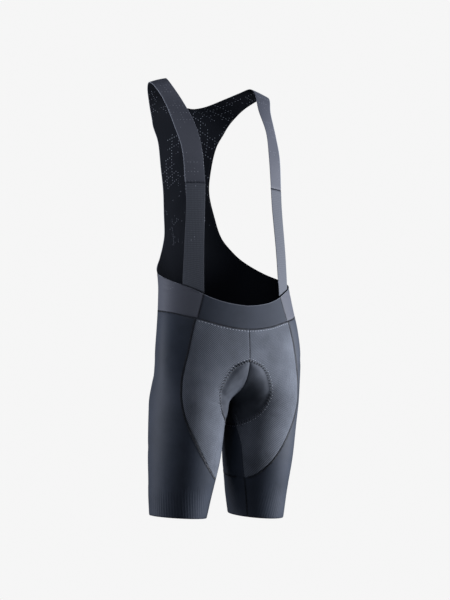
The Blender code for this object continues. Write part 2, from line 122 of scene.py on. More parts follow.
def through(table, column, at):
    """Value of a table's column at a place: a monotone curve through the rows."""
    rows = sorted(table)
    place = np.array([row[0] for row in rows])
    value = np.array([row[column] for row in rows])
    step = np.diff(place)
    slope = np.diff(value) / step
    tangent = np.concatenate([[slope[0]], (slope[:-1] + slope[1:]) / 2, [slope[-1]]])
    tangent[1:-1][slope[:-1] * slope[1:] <= 0] = 0
    low = np.minimum(np.abs(slope[:-1]), np.abs(slope[1:])) * 3
    tangent[1:-1] = np.clip(tangent[1:-1], -low, low)
    at = np.clip(at, place[0], place[-1])
    index = np.clip(np.searchsorted(place, at, side="right") - 1, 0, len(step) - 1)
    width = step[index]
    return curve((at - place[index]) / width, value[index], tangent[index] * width,
                 value[index + 1], tangent[index + 1] * width)


def ease(low, high, value):
    """Smooth step from 0 at low to 1 at high."""
    t = np.clip((value - low) / (high - low), 0, 1)
    return t * t * (3 - 2 * t)


def run_along(points):
    """How far along a line of points each one lies."""
    return np.concatenate([[0], np.cumsum(np.linalg.norm(np.diff(points, axis=0), axis=1))])


def read_at(places, run, points):
    """The points of a line at given distances along it."""
    return np.stack([np.interp(places, run, values) for values in points.T], -1)


# %% The skin
def oval(dx, dy, half_width, front, back):
    """About how far outside an oval a place lies: negative inside it."""
    depth = np.where(dy < 0, front, back)
    return (np.sqrt((dx / half_width) ** 2 + (dy / depth) ** 2) - 1) * half_width


def section(z):
    """The table values of the form at a height."""
    leg = [through(LEG, column, z) for column in range(1, 6)]
    trunk = [through(TRUNK, column, z) for column in range(1, 5)]
    return leg, trunk, ease(FORK_LOW, FORK_HIGH, z)


def skin_of(x, y, sizes):
    """The skin's number at places of one section: two legs, one trunk or a mix of both."""
    leg, (half_width, front, side, back), share = sizes
    near = oval(x - leg[0], y - leg[1], leg[2], leg[3], leg[4])
    far = oval(x + leg[0], y - leg[1], leg[2], leg[3], leg[4])
    overlap = np.maximum(FORK_SOFTNESS - np.abs(near - far), 0)
    legs = np.minimum(near, far) - overlap ** 2 / (4 * FORK_SOFTNESS)
    trunk = oval(x, y - side, half_width, side - front, back - side)
    return (1 - share) * legs + share * trunk


def skin(x, y, z):
    return skin_of(x, y, section(z))


def rise(points):
    """How fast the skin's number grows along each axis, at an array of points."""
    x, y, z = np.moveaxis(np.asarray(points), -1, 0)
    reach = 0.0005
    return np.stack([skin(x + reach, y, z) - skin(x - reach, y, z),
                     skin(x, y + reach, z) - skin(x, y - reach, z),
                     skin(x, y, z + reach) - skin(x, y, z - reach)], -1) / (2 * reach)


def unit(vectors):
    return vectors / np.linalg.norm(vectors, axis=-1, keepdims=True)


def outward(points):
    """Unit directions out of the skin at an array of points."""
    return unit(rise(points))


print("skin at the belly button:", round(float(skin(0, -0.150, -0.45)), 4), "m")

# %% [markdown]
# ## Places on the skin
#
# A tailor says where a seam lies by its height and by how far round the body it is. So do
# we: "around" is measured level along the cloth from the outside of the hip, negative
# towards the centre front and positive towards the centre back. Below the crotch both ways
# round end at the inseam. Half a ring is measured at many heights, like the rungs of a
# ladder, and a place between two rungs is blended from both. That is far quicker than
# measuring each point by itself.

# %% From inside the skin out to it
RING_STEPS = 120         # steps of the half ring, before and behind the side line
HALVINGS = 22            # how often a search for the skin halves its step
TRUNK_REACH = 0.25       # no point of the skin is farther than this from the centre plane
LEG_REACH = 0.30         # or than this from a leg's axis
RUNG = 0.003             # usual height between two rungs
TOP_RUNG = -0.024
CROTCH_STEPS = 0.0001 * np.arange(1, 18) ** 2   # rungs crowd together near the crotch


def first_outside(start, direction, height, limit):
    """Distances from a point inside the skin to its face, along level directions."""
    sizes = section(height)
    low = np.zeros(len(direction))
    high = np.zeros(len(direction)) + limit
    for _ in range(HALVINGS):
        middle = (low + high) / 2
        place = start + direction * middle[:, None]
        inside = skin_of(place[:, 0], place[:, 1], sizes) < 0
        low = np.where(inside, middle, low)
        high = np.where(inside, high, middle)
    return (low + high) / 2


# %% The crotch
def crotch():
    """Height and Y of the lowest point of the skin on the centre plane."""
    low, high = -0.72, -0.60
    along = np.linspace(-0.16, 0.04, 201)
    centre = np.zeros_like(along)
    for _ in range(HALVINGS + 2):
        middle = (low + high) / 2
        inside = skin(centre, along, centre + middle) < 0
        low, high = (low, middle) if inside.any() else (middle, high)
    return high, along[np.argmin(skin(centre, along, centre + high))]


CROTCH_HEIGHT, CROTCH_Y = crotch()
print("crotch at", round(CROTCH_HEIGHT, 4), "m")


# %% One half ring
@functools.lru_cache(maxsize=None)
def ring(height):
    """The half ring at a height, and how far round from the side line each point lies."""
    axis = np.array([float(through(LEG, 1, height)), float(through(LEG, 2, height))])
    if height <= CROTCH_HEIGHT:
        meeting = math.atan2(CROTCH_Y - axis[1], -axis[0]) % (2 * math.pi)
        last = meeting + INSEAM_TURN * (1 - ease(INSEAM_TURNED, CROTCH_HEIGHT, height))
        first = last - 2 * math.pi
    else:
        middle = np.array([0.0, CROTCH_Y])
        both_ways = np.array([[0.0, -1.0], [0.0, 1.0]])
        forward, backward = first_outside(middle, both_ways, height, TRUNK_REACH)
        first = math.atan2(CROTCH_Y - forward - axis[1], -axis[0]) % (2 * math.pi) - 2 * math.pi
        last = math.atan2(CROTCH_Y + backward - axis[1], -axis[0]) % (2 * math.pi)
    angle = np.concatenate([np.linspace(first, 0, RING_STEPS + 1),
                            np.linspace(0, last, RING_STEPS + 1)[1:]])
    direction = np.stack([np.cos(angle), np.sin(angle)], -1)
    inward = np.minimum(direction[:, 0], -0.01)
    limit = np.where(direction[:, 0] < 0, np.minimum(axis[0] / -inward, LEG_REACH), LEG_REACH)
    points = axis + direction * first_outside(axis, direction, height, limit)[:, None]
    points[:, 0] = np.maximum(points[:, 0], 0)
    run = run_along(points)
    return points, run - run[RING_STEPS]


# %% The ladder of half rings
def rungs():
    """Heights of the ladder: closer and closer together near the crotch, from both sides."""
    near = CROTCH_STEPS
    above = np.arange(CROTCH_HEIGHT + near[-1] + RUNG, TOP_RUNG, RUNG)
    below = np.arange(CROTCH_HEIGHT - near[-1] - RUNG, HEM - 2 * RUNG, -RUNG)
    every = [*above, *(CROTCH_HEIGHT + near), CROTCH_HEIGHT + 1e-6, CROTCH_HEIGHT,
             *(CROTCH_HEIGHT - near), *below]
    return np.array(sorted(round(float(height), 7) for height in every))


LADDER = rungs()
ENDS = np.array([ring(height)[1][[0, -1]] for height in LADDER])


def ends(height):
    """How far round the centre front and the centre back (or the inseam) lie."""
    return np.interp(height, LADDER, ENDS[:, 0]), np.interp(height, LADDER, ENDS[:, 1])


def on_skin(around, height):
    """Points of the skin on the +X side, for arrays of places."""
    around, height = np.broadcast_arrays(np.asarray(around, float), np.asarray(height, float))
    flat_around, flat_height = around.ravel(), height.ravel()
    behind = (flat_around > 0).astype(int)
    reach = np.where(behind, *ends(flat_height)[::-1])
    lower = np.clip(np.searchsorted(LADDER, flat_height, side="right") - 1, 0, len(LADDER) - 2)
    found = np.zeros((len(flat_around), 3))
    for rung in np.unique(lower):
        here = lower == rung
        share = (flat_height[here] - LADDER[rung]) / (LADDER[rung + 1] - LADDER[rung])
        for axis in (0, 1):
            value = []
            for number in (rung, rung + 1):
                points, run = ring(LADDER[number])
                level = flat_around[here] * ENDS[number][behind[here]] / reach[here]
                value.append(np.interp(level, run, points[:, axis]))
            found[here, axis] = value[0] * (1 - share) + value[1] * share
    found[:, 2] = flat_height
    return found.reshape(*around.shape, 3)


print("rungs:", len(LADDER), "from", LADDER[0], "to", LADDER[-1], "m")

# %% [markdown]
# ## Seam lines
#
# These are the lines where panels meet, in the same two measures. The shape of a panel is
# nothing but the space between two of them, so neighbours always fit.

# %% Seam tables
SEAM_GAP = 0.00004       # between the edges of two panels that are sewn together
CLOTH = 0.0009           # thickness of the knitted cloth
DOUBLE_CLOTH = 0.0012    # thickness of the waistband and the straps

#              around   height
WAIST_SEAM = [(-0.205, -0.522),
              (-0.175, -0.520),
              (-0.140, -0.5145),
              (-0.110, -0.507),
              (-0.088, -0.502),
              (-0.060, -0.496),
              (-0.030, -0.489),
              (0.020, -0.483),
              (0.100, -0.479),
              (0.220, -0.477)]

#              height  around
FRONT_SEAM = [(-0.480, -0.087),
              (-0.512, -0.085),
              (-0.540, -0.083),
              (-0.572, -0.080),
              (-0.600, -0.0745),
              (-0.630, -0.0705),
              (-0.664, -0.0725),
              (-0.700, -0.082),
              (-0.732, -0.096),
              (-0.756, -0.108),
              (-0.780, -0.121),
              (-0.800, -0.134),
              (-0.816, -0.148),
              (-0.826, -0.161),
              (-0.831, -0.1765)]
SEAT_SEAM = [(-0.475, 0.115),
             (-0.540, 0.098),
             (-0.600, 0.085),
             (-0.660, 0.078),
             (-0.720, 0.086),
             (-0.765, 0.105),
             (-0.795, 0.132),
             (-0.812, 0.162),
             (-0.820, 0.186),
             (-0.826, 0.218),
             (-0.831, 0.2713)]

#            height  around
BAND_END = [(-0.503, -0.0875),
            (-0.451, -0.089)]
#            around  height
BAND_TOP = [(-0.190, -0.473),
            (-0.165, -0.471),
            (-0.135, -0.466),
            (-0.110, -0.459),
            (-0.089, -0.451)]

# %% [markdown]
# ## Cloth helpers
#
# Each panel is a grid of points with the outside of the cloth as its face. Its UV map holds
# real metres, so that a knit drawn on it has its true size. Close to a sewn edge the grid
# is finer, because the cloth rolls under there. Solidify gives the cloth its thickness.

# %% From grids to cloth pieces
EDGE_STEPS = np.array([0.0007, 0.0015, 0.0030])   # distances of the first columns from an edge
EDGE_SHARES = np.array([0.04, 0.09, 0.18])        # their share of a cloth too narrow for that
EDGE_ROLL = 0.0007                                # how deep a sewn edge rolls under
ROLL_REACH = 0.0032                               # and how far in it starts


def edge_places(width, count):
    """Places across a width: close together at both edges, even between them."""
    near = np.minimum(EDGE_STEPS, width * EDGE_SHARES)
    middle = np.linspace(near[-1], width - near[-1], count)
    return np.concatenate([[0], near[:-1], middle, width - near[-2::-1], [width]])


def rolled(distance):
    """How far the cloth dips at a distance from its sewn edge."""
    return -EDGE_ROLL * np.clip(1 - distance / ROLL_REACH, 0, 1) ** 2


def new_piece(name, points, faces, corner_uv):
    """A smooth mesh object in the scene; corner_uv has a row of metres per face corner."""
    mesh = bpy.data.meshes.new(name)
    mesh.from_pydata(points.reshape(-1, 3).tolist(), [], faces)
    layer = mesh.uv_layers.new(name="metres")
    layer.data.foreach_set("uv", corner_uv.ravel().astype(np.float32))
    mesh.shade_smooth()
    piece = bpy.data.objects.new(name, mesh)
    bpy.context.scene.collection.objects.link(piece)
    return piece


def quads(rows, columns, flip=False):
    """The faces of a grid, as four point numbers each, and the table of point numbers."""
    index = np.arange(rows * columns).reshape(rows, columns)
    corners = [index[:-1, :-1], index[1:, :-1], index[1:, 1:], index[:-1, 1:]]
    return np.stack(corners[::-1] if flip else corners, -1).reshape(-1, 4), index


def cloth_mesh(name, points, uv, attributes=None, flip=False):
    """A piece from a grid of points; attributes holds extra numbers for each point."""
    faces, _ = quads(*points.shape[:2], flip)
    piece = new_piece(name, points, faces.tolist(), uv.reshape(-1, 2)[faces.ravel()])
    for key, values in (attributes or {}).items():
        made = piece.data.attributes.new(key, "FLOAT", "POINT")
        made.data.foreach_set("value", values.ravel().astype(np.float32))
    return piece


# %% Thickness, place and the other side
def wall(piece, thickness=CLOTH, inner_slot=0):
    """Gives a sheet its thickness, inwards. inner_slot is the material of its inner face."""
    solid = piece.modifiers.new("Thickness", "SOLIDIFY")
    solid.thickness = thickness
    solid.offset = -1
    solid.use_rim = True
    solid.material_offset = inner_slot
    solid.use_quality_normals = True
    return piece


def settle(piece, nodes):
    """Puts a finished piece on its body, in place of its plain solids."""
    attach(piece, "root")
    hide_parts(*nodes)
    print(f"{piece.name}: {len(piece.data.vertices)} points, stands for {', '.join(nodes)}")


FLIP = np.array([-1.0, 1.0, 1.0])
SIDES = (("left", 1), ("right", -1))   # the wearer's left is +X


def both(name, points, uv, attributes=None):
    """The same piece for both sides, mirrored, with the faces turned so that both look out.

    "Around" is mirrored too, so that a slanting knit runs the same way across both.
    """
    pair = []
    for side, sign in SIDES:
        placed = points * [sign, 1, 1]
        pair.append(cloth_mesh(f"{name}_{side}", placed, uv * [sign, 1], attributes,
                               flip=sign < 0))
    return pair


# %% [markdown]
# ## Knits and threads
#
# Knits, a mesh, a tape and threads cover the garment. A small function adds a shader node
# with its settings and its links, another turns a screen colour into the linear one that
# Blender works with.

# %% Shader helpers
def linear(hex_colour):
    """A colour written as sRGB hex, as the linear values a shader takes."""
    values = [int(hex_colour[i:i + 2], 16) / 255 for i in (1, 3, 5)]
    return (*[v / 12.92 if v <= 0.04045 else ((v + 0.055) / 1.055) ** 2.4 for v in values], 1)


def add(material, kind, links=None, **settings):
    """A new node. links maps an input's name or number to a socket or to a fixed value."""
    tree = material.node_tree
    made = tree.nodes.new(kind)
    for key, value in settings.items():
        setattr(made, key, value)
    for key, value in (links or {}).items():
        socket = made.inputs[key]
        if isinstance(value, bpy.types.NodeSocket):
            tree.links.new(value, socket)
        else:
            socket.default_value = value
    return made


def maths(material, operation, *values):
    """The result of a sum, product or other operation on sockets and numbers."""
    node = add(material, "ShaderNodeMath", dict(enumerate(values)), operation=operation)
    return node.outputs[0]


def blend_colours(material, share, first, second):
    """A mix of two colours, each a socket or a fixed colour."""
    node = add(material, "ShaderNodeMix", {0: share, 6: first, 7: second}, data_type="RGBA")
    return node.outputs[2]


# %% What every fabric has
SHEEN_COLOUR = "#8F97A6"


def fabric(name, roughness, sheen, specular=0.25):
    """An empty fabric material: its shader and its map of real metres."""
    material = bpy.data.materials.new(name)
    material.use_nodes = True
    shader = material.node_tree.nodes["Principled BSDF"]
    shader.inputs["Roughness"].default_value = roughness
    shader.inputs["Sheen Weight"].default_value = sheen
    shader.inputs["Sheen Roughness"].default_value = 0.45
    shader.inputs["Sheen Tint"].default_value = linear(SHEEN_COLOUR)
    shader.inputs["Specular IOR Level"].default_value = specular
    uv = add(material, "ShaderNodeUVMap", uv_map="metres").outputs[0]
    split = add(material, "ShaderNodeSeparateXYZ", {0: uv})
    return material, shader, split.outputs[0], split.outputs[1]


def finish_fabric(material, shader, colour, height=None, depth=0.0):
    """Links a fabric's colour and its relief, depth metres deep."""
    material.node_tree.links.new(colour, shader.inputs["Base Color"])
    if height is not None:
        bump = add(material, "ShaderNodeBump", {"Height": height, "Distance": depth,
                                                "Strength": 1.0})
        material.node_tree.links.new(bump.outputs[0], shader.inputs["Normal"])
    return material


def wave(material, place, pitch):
    """A wave from 0 to 1 along a measure, one crest each pitch."""
    turned = maths(material, "MULTIPLY_ADD", place, 2 * math.pi / pitch, 0.0)
    return maths(material, "MULTIPLY_ADD", maths(material, "SINE", turned), 0.5, 0.5)


def marked(material, name):
    """The vertex attribute of that name, a number at each point of the mesh."""
    return add(material, "ShaderNodeAttribute", attribute_name=name).outputs["Fac"]


def ramp(material, value, start, end, low, high):
    """low where a value is at start or before it, high from end on, even between them."""
    return add(material, "ShaderNodeMapRange",
               {"Value": value, 1: start, 2: end, 3: low, 4: high}).outputs[0]


def painted_edge_highlight(material, colour, highlight_colour):
    """A colour with a painted highlight along a raw cut edge, where the attribute "rim" says
    so.
    """
    return blend_colours(material, marked(material, "rim"), colour, linear(highlight_colour))


def cloudy(material, scale, low, high):
    """Soft uneven patches in space, from low to high, as dye takes unevenly in a knit."""
    where = add(material, "ShaderNodeTexCoord").outputs["Object"]
    noise = add(material, "ShaderNodeTexNoise", {"Vector": where, "Scale": scale,
                                                 "Detail": 3.0, "Roughness": 0.6})
    return ramp(material, noise.outputs[0], 0.3, 0.7, low, high)


print("linear value of a dark slate:", [round(v, 4) for v in linear("#232A35")[:3]])

# %% [markdown]
# ### Smooth warp knit
#
# The side and seat panels and the waistband are nylon and elastane, knitted tight and pressed
# flat: nearly black slate with a soft light bloom where one looks along it. The wales, its
# columns of stitches, run down the leg. Real ones are 0.6 mm apart, too fine to show here, so
# they are drawn 1.8 mm apart.

# %% Smooth knit
WALE = 0.0018            # from one column of stitches to the next
COURSE = WALE * 1.3      # from one row of stitches to the next
KNIT_PATCHES = 18.0      # patches of uneven dye to a metre


def smooth_knit(name, dark, light, roughness, sheen, edge_highlight=None, specular=0.25):
    """Nylon and elastane, smooth: stitches and uneven dye blend its two tones."""
    material, shader, across, down = fabric(name, roughness, sheen, specular=specular)
    wales = wave(material, across, WALE)
    courses = wave(material, down, COURSE)
    stitches = maths(material, "MULTIPLY", wales, courses)
    patches = cloudy(material, KNIT_PATCHES, 0.0, 0.6)
    share = maths(material, "MULTIPLY_ADD", stitches, 0.4, patches)
    colour = blend_colours(material, share, linear(dark), linear(light))
    # A painted highlight along the raw edge, where its thickness catches the light.
    if edge_highlight:
        colour = painted_edge_highlight(material, colour, edge_highlight)
    return finish_fabric(material, shader, colour, stitches, 0.00012)


side_knit = smooth_knit("smooth_warp_knit_slate", "#1D232C", "#2A303B", 0.6, 0.2, specular=0.18)
# Its pale edge tone, #5A5E66, is a painted highlight along the band's raw top edge.
band_knit = smooth_knit("smooth_warp_knit_waistband", "#20252D", "#2B303A", 0.8, 0.15,
                        "#5A5E66")

# %% [markdown]
# ### Pitted front knit
#
# The front panels are a lighter, drier knit, pressed into a lattice of small diamond pits
# that crosses the leg on the slant. The pits are nearly 4 mm apart, and their hollows are
# darkened with painted shade. Where the seat pad lies behind the cloth the pits and their
# painted shade are pulled flat, which the vertex attribute "padded" says.

# %% Pitted knit
PIT_PITCH = 0.0037       # along one slant
PIT_COUNTER = PIT_PITCH * 0.8   # and along the other
PIT_PATCHES = 14.0       # patches of uneven dye to a metre


def pitted_knit():
    """Nylon and elastane, pressed: painted shade darkens the pits, pale between them."""
    material, shader, across, down = fabric("pitted_warp_knit_blue_grey", 0.8, 0.15)
    slant = wave(material, maths(material, "ADD", across, down), PIT_PITCH)
    counter = wave(material, maths(material, "SUBTRACT", across, down), PIT_COUNTER)
    lattice = maths(material, "MULTIPLY", slant,
                    maths(material, "MULTIPLY_ADD", counter, 0.5, 0.5))
    unpressed = maths(material, "MULTIPLY_ADD", marked(material, "padded"), -0.9, 1.0)
    pits = maths(material, "MULTIPLY", lattice, unpressed)
    patches = cloudy(material, PIT_PATCHES, -0.15, 0.25)
    share = maths(material, "ADD", pits, patches)
    # The darker tone is painted shade in the hollows of the pits.
    colour = blend_colours(material, share, linear("#2B2F36"), linear("#676C75"))
    return finish_fabric(material, shader, colour, pits, 0.0005)


front_knit = pitted_knit()

# %% [markdown]
# ### Perforated mesh and elastic tape
#
# The back and the shoulder arms are a light mesh with fine holes in short rows and columns,
# grey outside. Its inside is painted black, as painted shade where little light gets in, and
# its holes are painted pale there, as painted light shining through them. Every third line of
# a square lattice is punched, and a soft noise picks the groups, which thin out towards the
# waist; on the inside this thinning is painted shade that deepens downwards. Real holes are
# finer and closer.
# The front straps are a ribbed stretch tape with smaller holes.

# %% Holes in rows and columns
HOLE_PITCH = 0.0066      # from one line of the lattice to the next
HOLE_RADIUS = 0.0010
HOLE_GROUPS = 17.0       # groups of holes to a metre
HOLES_FEW = -0.32        # down to this height the groups thin out
HOLES_FULL = -0.19       # above this one they lie as close as they get
LEAST_COVERAGE = 0.08    # share of the cloth that is punched at the waist


def holes(material, across, down, pitch, radius):
    """1 in round holes on a square lattice, 0 between them."""
    level = maths(material, "PINGPONG", across, pitch / 2)
    upright = maths(material, "PINGPONG", down, pitch / 2)
    apart = maths(material, "SQRT", maths(material, "ADD",
                                          maths(material, "MULTIPLY", level, level),
                                          maths(material, "MULTIPLY", upright, upright)))
    return ramp(material, apart, radius * 0.8, radius * 1.15, 1.0, 0.0)


def every_third(material, place, pitch):
    """1 on every third line of a lattice."""
    line = maths(material, "ROUND", maths(material, "DIVIDE", place, pitch))
    return maths(material, "LESS_THAN", maths(material, "PINGPONG", line, 1.5), 0.25)


def punched(material, across, down, radius, coverage):
    """Holes in short rows and columns, in loose groups that thin out downwards."""
    dots = holes(material, across, down, HOLE_PITCH, radius)
    where = add(material, "ShaderNodeTexCoord").outputs["Object"]
    height = add(material, "ShaderNodeSeparateXYZ", {0: where}).outputs[2]
    # Fewer groups lower down: on the inside of the back, where the holes are painted light,
    # this is painted shade that deepens towards the waist. The outside and the straps share it.
    coverage = ramp(material, height, HOLES_FEW, HOLES_FULL, LEAST_COVERAGE, coverage)
    lines = maths(material, "MAXIMUM", every_third(material, across, HOLE_PITCH),
                  every_third(material, down, HOLE_PITCH))
    groups = maths(material, "LESS_THAN", cloudy(material, HOLE_GROUPS, 0.0, 1.0), coverage)
    return maths(material, "MULTIPLY", dots, maths(material, "MULTIPLY", lines, groups))


# %% Perforated mesh
MESH_GRAIN = (0.0016, 0.0021)    # pitch across and down the cloth


def mesh_knit(name, ground, hole, roughness, sheen, coverage, specular=0.25, edge_highlight=None):
    """Open warp-knit mesh; ground holds its two tones and hole the tone of its holes."""
    material, shader, across, down = fabric(name, roughness, sheen, specular=specular)
    pattern = punched(material, across, down, HOLE_RADIUS, coverage)
    grain = maths(material, "MULTIPLY", wave(material, across, MESH_GRAIN[0]),
                  wave(material, down, MESH_GRAIN[1]))
    ground = blend_colours(material, grain, linear(ground[0]), linear(ground[1]))
    colour = blend_colours(material, pattern, ground, linear(hole))
    # A painted highlight along the raw edge, where its thickness catches the light.
    if edge_highlight:
        colour = painted_edge_highlight(material, colour, edge_highlight)
    unpunched = maths(material, "SUBTRACT", 1.0, pattern)
    relief = maths(material, "MULTIPLY_ADD", grain, 0.2, unpunched)
    return finish_fabric(material, shader, colour, relief, 0.0004)


# Its pale edge tone, #7C8088, is a painted highlight along the back's raw edge.
back_outside = mesh_knit("perforated_mesh_grey", ("#3E4048", "#4A4C53"), "#6E7178", 0.65, 0.22,
                         0.5, edge_highlight="#7C8088")
# The inside of the back is painted shade: a black copy of the mesh where little light reaches,
# with its holes painted pale as light shining through them.
back_inside_painted_shade = mesh_knit("perforated_mesh_inside_painted_shade", ("#090B0F", "#101319"), "#62666E", 0.9, 0.0,
                        0.45, 0.05)


# %% Stretch tape and threads
TAPE_GRAIN = (0.0030, 0.0038)
TWIST = 0.0009           # length of one turn of a thread


def stretch_tape():
    """Ribbed elastic tape of the straps, with holes a little finer than the mesh has."""
    material, shader, across, down = fabric("ribbed_stretch_tape", 0.7, 0.3)
    mottle = maths(material, "MULTIPLY", wave(material, across, TAPE_GRAIN[0]),
                   wave(material, down, TAPE_GRAIN[1]))
    pattern = punched(material, across, down, HOLE_RADIUS * 0.9, 0.7)
    colour = blend_colours(material, mottle, linear("#3E4147"), linear("#4E5158"))
    colour = blend_colours(material, pattern, colour, linear("#80848C"))
    return finish_fabric(material, shader, colour, mottle, 0.0003)


strap_tape = stretch_tape()


def plain_thread(name, dark, light):
    """Polyester sewing thread: round, slightly glossy, twisted."""
    material, shader, across, down = fabric(name, 0.45, 0.1)
    twist = wave(material, maths(material, "ADD", across, down), TWIST)
    colour = blend_colours(material, twist, linear(dark), linear(light))
    return finish_fabric(material, shader, colour)


dark_thread = plain_thread("polyester_thread_black", "#07090D", "#12161C")
slate_thread = plain_thread("polyester_thread_slate", "#1C2028", "#2A2F38")
light_thread = plain_thread("polyester_thread_grey", "#9499A2", "#C2C6CE")

# %% [markdown]
# ## The seat pad's outline
#
# The pad is sewn behind the crotch and shows outside as a line of slanting stitches with two
# soft lobes inside it. Its outline is walked off on the skin: down the centre line, and
# from there straight out to each side. The same walk later gives the pad itself.

# %% Walking along the skin
#            distance  half_width
PAD_WIDTH = [(0.000, 0.003),
             (0.010, 0.028),
             (0.025, 0.044),
             (0.045, 0.056),
             (0.065, 0.064),
             (0.090, 0.064),
             (0.120, 0.060),
             (0.150, 0.057),
             (0.190, 0.064),
             (0.225, 0.072),
             (0.250, 0.066),
             (0.270, 0.040),
             (0.278, 0.003)]
PAD_TOP = -0.586
PAD_ROWS = 56
PAD_COLUMNS = 20
WALK_STEP = 0.004


def snap(points):
    """The nearest points of the skin, found in four ever smaller steps."""
    for _ in range(4):
        slope = rise(points)
        gap = skin(points[..., 0], points[..., 1], points[..., 2])
        points = points - slope * (gap / (slope ** 2).sum(-1))[..., None]
    return points


def walk(start, heading, distances):
    """Points at given distances along the skin, walking straight ahead from many starts."""
    place, points, gone = np.array(start), [], 0.0
    heading = np.broadcast_to(heading, place.shape)
    for distance in distances:
        steps = max(1, math.ceil(np.max(distance - gone) / WALK_STEP))
        for _ in range(steps):
            away = outward(place)
            heading = unit(heading - away * (heading * away).sum(-1, keepdims=True))
            stride = np.asarray((distance - gone) / steps)
            place = snap(place + heading * stride[..., None])
        gone = distance
        points.append(place)
    return np.array(points)


pad_length = PAD_WIDTH[-1][0]
pad_run = pad_length * (1 - np.cos(np.linspace(0, math.pi, PAD_ROWS + 1))) / 2
front_y = ring(PAD_TOP)[0][0, 1]
centre_line = walk(snap(np.array([0.0, front_y, PAD_TOP])), np.array([0.0, 0.0, -1.0]), pad_run)
half_widths = through(PAD_WIDTH, 1, pad_run)
reaches = [half_widths * step / PAD_COLUMNS for step in range(PAD_COLUMNS + 1)]
pad_half = np.swapaxes(walk(centre_line, np.array([1.0, 0.0, 0.0]), reaches), 0, 1)
print("pad:", round(pad_length, 3), "m long,", round(2 * half_widths.max(), 3), "m wide")

# %% Where the pad lies behind the cloth
pad_tree = kdtree.KDTree(pad_half[..., 0].size)
for number, point in enumerate(pad_half.reshape(-1, 3)):
    pad_tree.insert(point, number)
pad_tree.balance()
side_share = np.tile(np.linspace(0, 1, PAD_COLUMNS + 1), PAD_ROWS + 1)
from_side = half_widths[:, None] * (1 - np.linspace(0, 1, PAD_COLUMNS + 1))
from_ends = np.minimum(pad_run, pad_length - pad_run)[:, None]
rim_distance = np.minimum(from_side, from_ends * 1.5).ravel()
PAD_REACH = 0.006        # a point of the cloth this near the pad's grid lies on the pad
LOBE = 0.0034            # how far each lobe pushes the cloth out


def over_pad(points):
    """How padded each point is, from 0 to 1, and how far its lobe pushes it out."""
    padded, push = np.zeros(len(points)), np.zeros(len(points))
    for number, point in enumerate(points):
        near = pad_tree.find_n(np.abs(point * [1, 0, 0]) + point * [0, 1, 1], 4)
        if near[0][2] > PAD_REACH:
            continue
        weight = np.array([1 / (distance + 0.0005) for _, _, distance in near])
        index = [found for _, found, _ in near]
        rim = (rim_distance[index] * weight).sum() / weight.sum()
        share = (side_share[index] * weight).sum() / weight.sum()
        padded[number] = ease(0.0005, 0.005, rim)
        push[number] = LOBE * ease(0.0, 0.016, rim) * math.sin(math.pi * min(share, 1)) ** 0.7
    return padded, push


# %% [markdown]
# ## The leg panels
#
# Front, side and seat panels all hang from the waist seam. The first rows fan out from that
# slanting seam and level off at the hips. Further down the rows crowd together at the
# crotch, where the form changes quickest.

# %% Rows and seams of the panels
FAN_DEPTH = 0.078        # about how far the fan of the first rows reaches down
FAN_ROWS = np.linspace(0.006, 0.075, 22)
PANEL_STEP = 0.0036      # usual height between two rows
FRONT_COLUMNS, SEAT_COLUMNS, SIDE_COLUMNS = 40, 44, 262


def centre_front(height):
    return ends(height)[0] + SEAM_GAP / 2


def centre_back(height):
    return ends(height)[1] - SEAM_GAP / 2


def outer_seam(table, side, inseam):
    """A front or seat panel's outer seam, half a gap to one side; the inseam below its tip."""
    def around(height):
        if height < TIP_ROW:
            return inseam(height)
        return float(through(table, 1, height)) + side * SEAM_GAP / 2
    return around


# %% Grid of a panel
def level_heights(foot, last_steps):
    """Heights of the level rows down to a foot; last_steps are distances of the last ones."""
    above = CROTCH_HEIGHT + (LEVEL_ROW - CROTCH_HEIGHT) * np.linspace(1, 0, 37)[:-1] ** 2
    near = CROTCH_HEIGHT - CROTCH_STEPS
    last = foot + np.array(last_steps)
    below = np.arange(near[-1] - PANEL_STEP, last[0] + PANEL_STEP / 2, -PANEL_STEP)
    return [*above, *near, *below, *last, foot]


def panel_grid(first_seam, last_seam, heights, count):
    """Places (around, height) of a panel's points, and their distance to a sewn edge."""
    rows, distances = [], []
    drops = np.concatenate([[0], EDGE_STEPS, FAN_ROWS]) / FAN_DEPTH
    for drop in drops:
        first, last = first_seam(LEVEL_ROW), last_seam(LEVEL_ROW)
        share = edge_places(last - first, count) / (last - first)
        height = np.full(len(share), LEVEL_ROW)
        for _ in range(3):
            seams = np.array([(first_seam(z), last_seam(z)) for z in height])
            around = seams[:, 0] * (1 - share) + seams[:, 1] * share
            head = through(WAIST_SEAM, 1, around) - SEAM_GAP / 2
            height = head + (LEVEL_ROW - head) * drop
        rows.append(np.stack([around, height], -1))
        distances.append(np.minimum.reduce([around - around[0], around[-1] - around,
                                            head - height]))
    for height in heights:
        first, last = first_seam(height), last_seam(height)
        around = first + edge_places(last - first, count)
        rows.append(np.stack([around, np.full(len(around), height)], -1))
        distances.append(np.minimum(around - first, last - around))
    return np.array(rows), np.array(distances)


tip_steps = (0.0120, 0.0085, 0.0058, 0.0038, 0.0022, 0.0010)
tip_heights = level_heights(TIP_ROW, tip_steps)
hem_steps = (0.0035, 0.0020, 0.0009)
hem_heights = [z for z in level_heights(HEM, hem_steps) if z < RING_ROW - 0.001]
side_heights = [*tip_heights, RING_ROW, *hem_heights]
print("rows:", len(tip_heights), "to the tip,", len(side_heights), "to the hem")

# %% [markdown]
# ### Gripper ribs and worn creases
#
# The last 60 mm of each leg are knitted with raised ribs that hold the hem in place. They
# fade out upwards, each at its own height. A stretched garment has few creases, but it
# has some: where the thigh meets the trunk and under the seat. Each is one soft trough on a
# short curve.

# %% Relief laid on the form
RIB_PITCH = 0.0058
RIB_HEIGHT = 0.00045
RIB_TOP = -0.848
RIB_FADE = 0.010


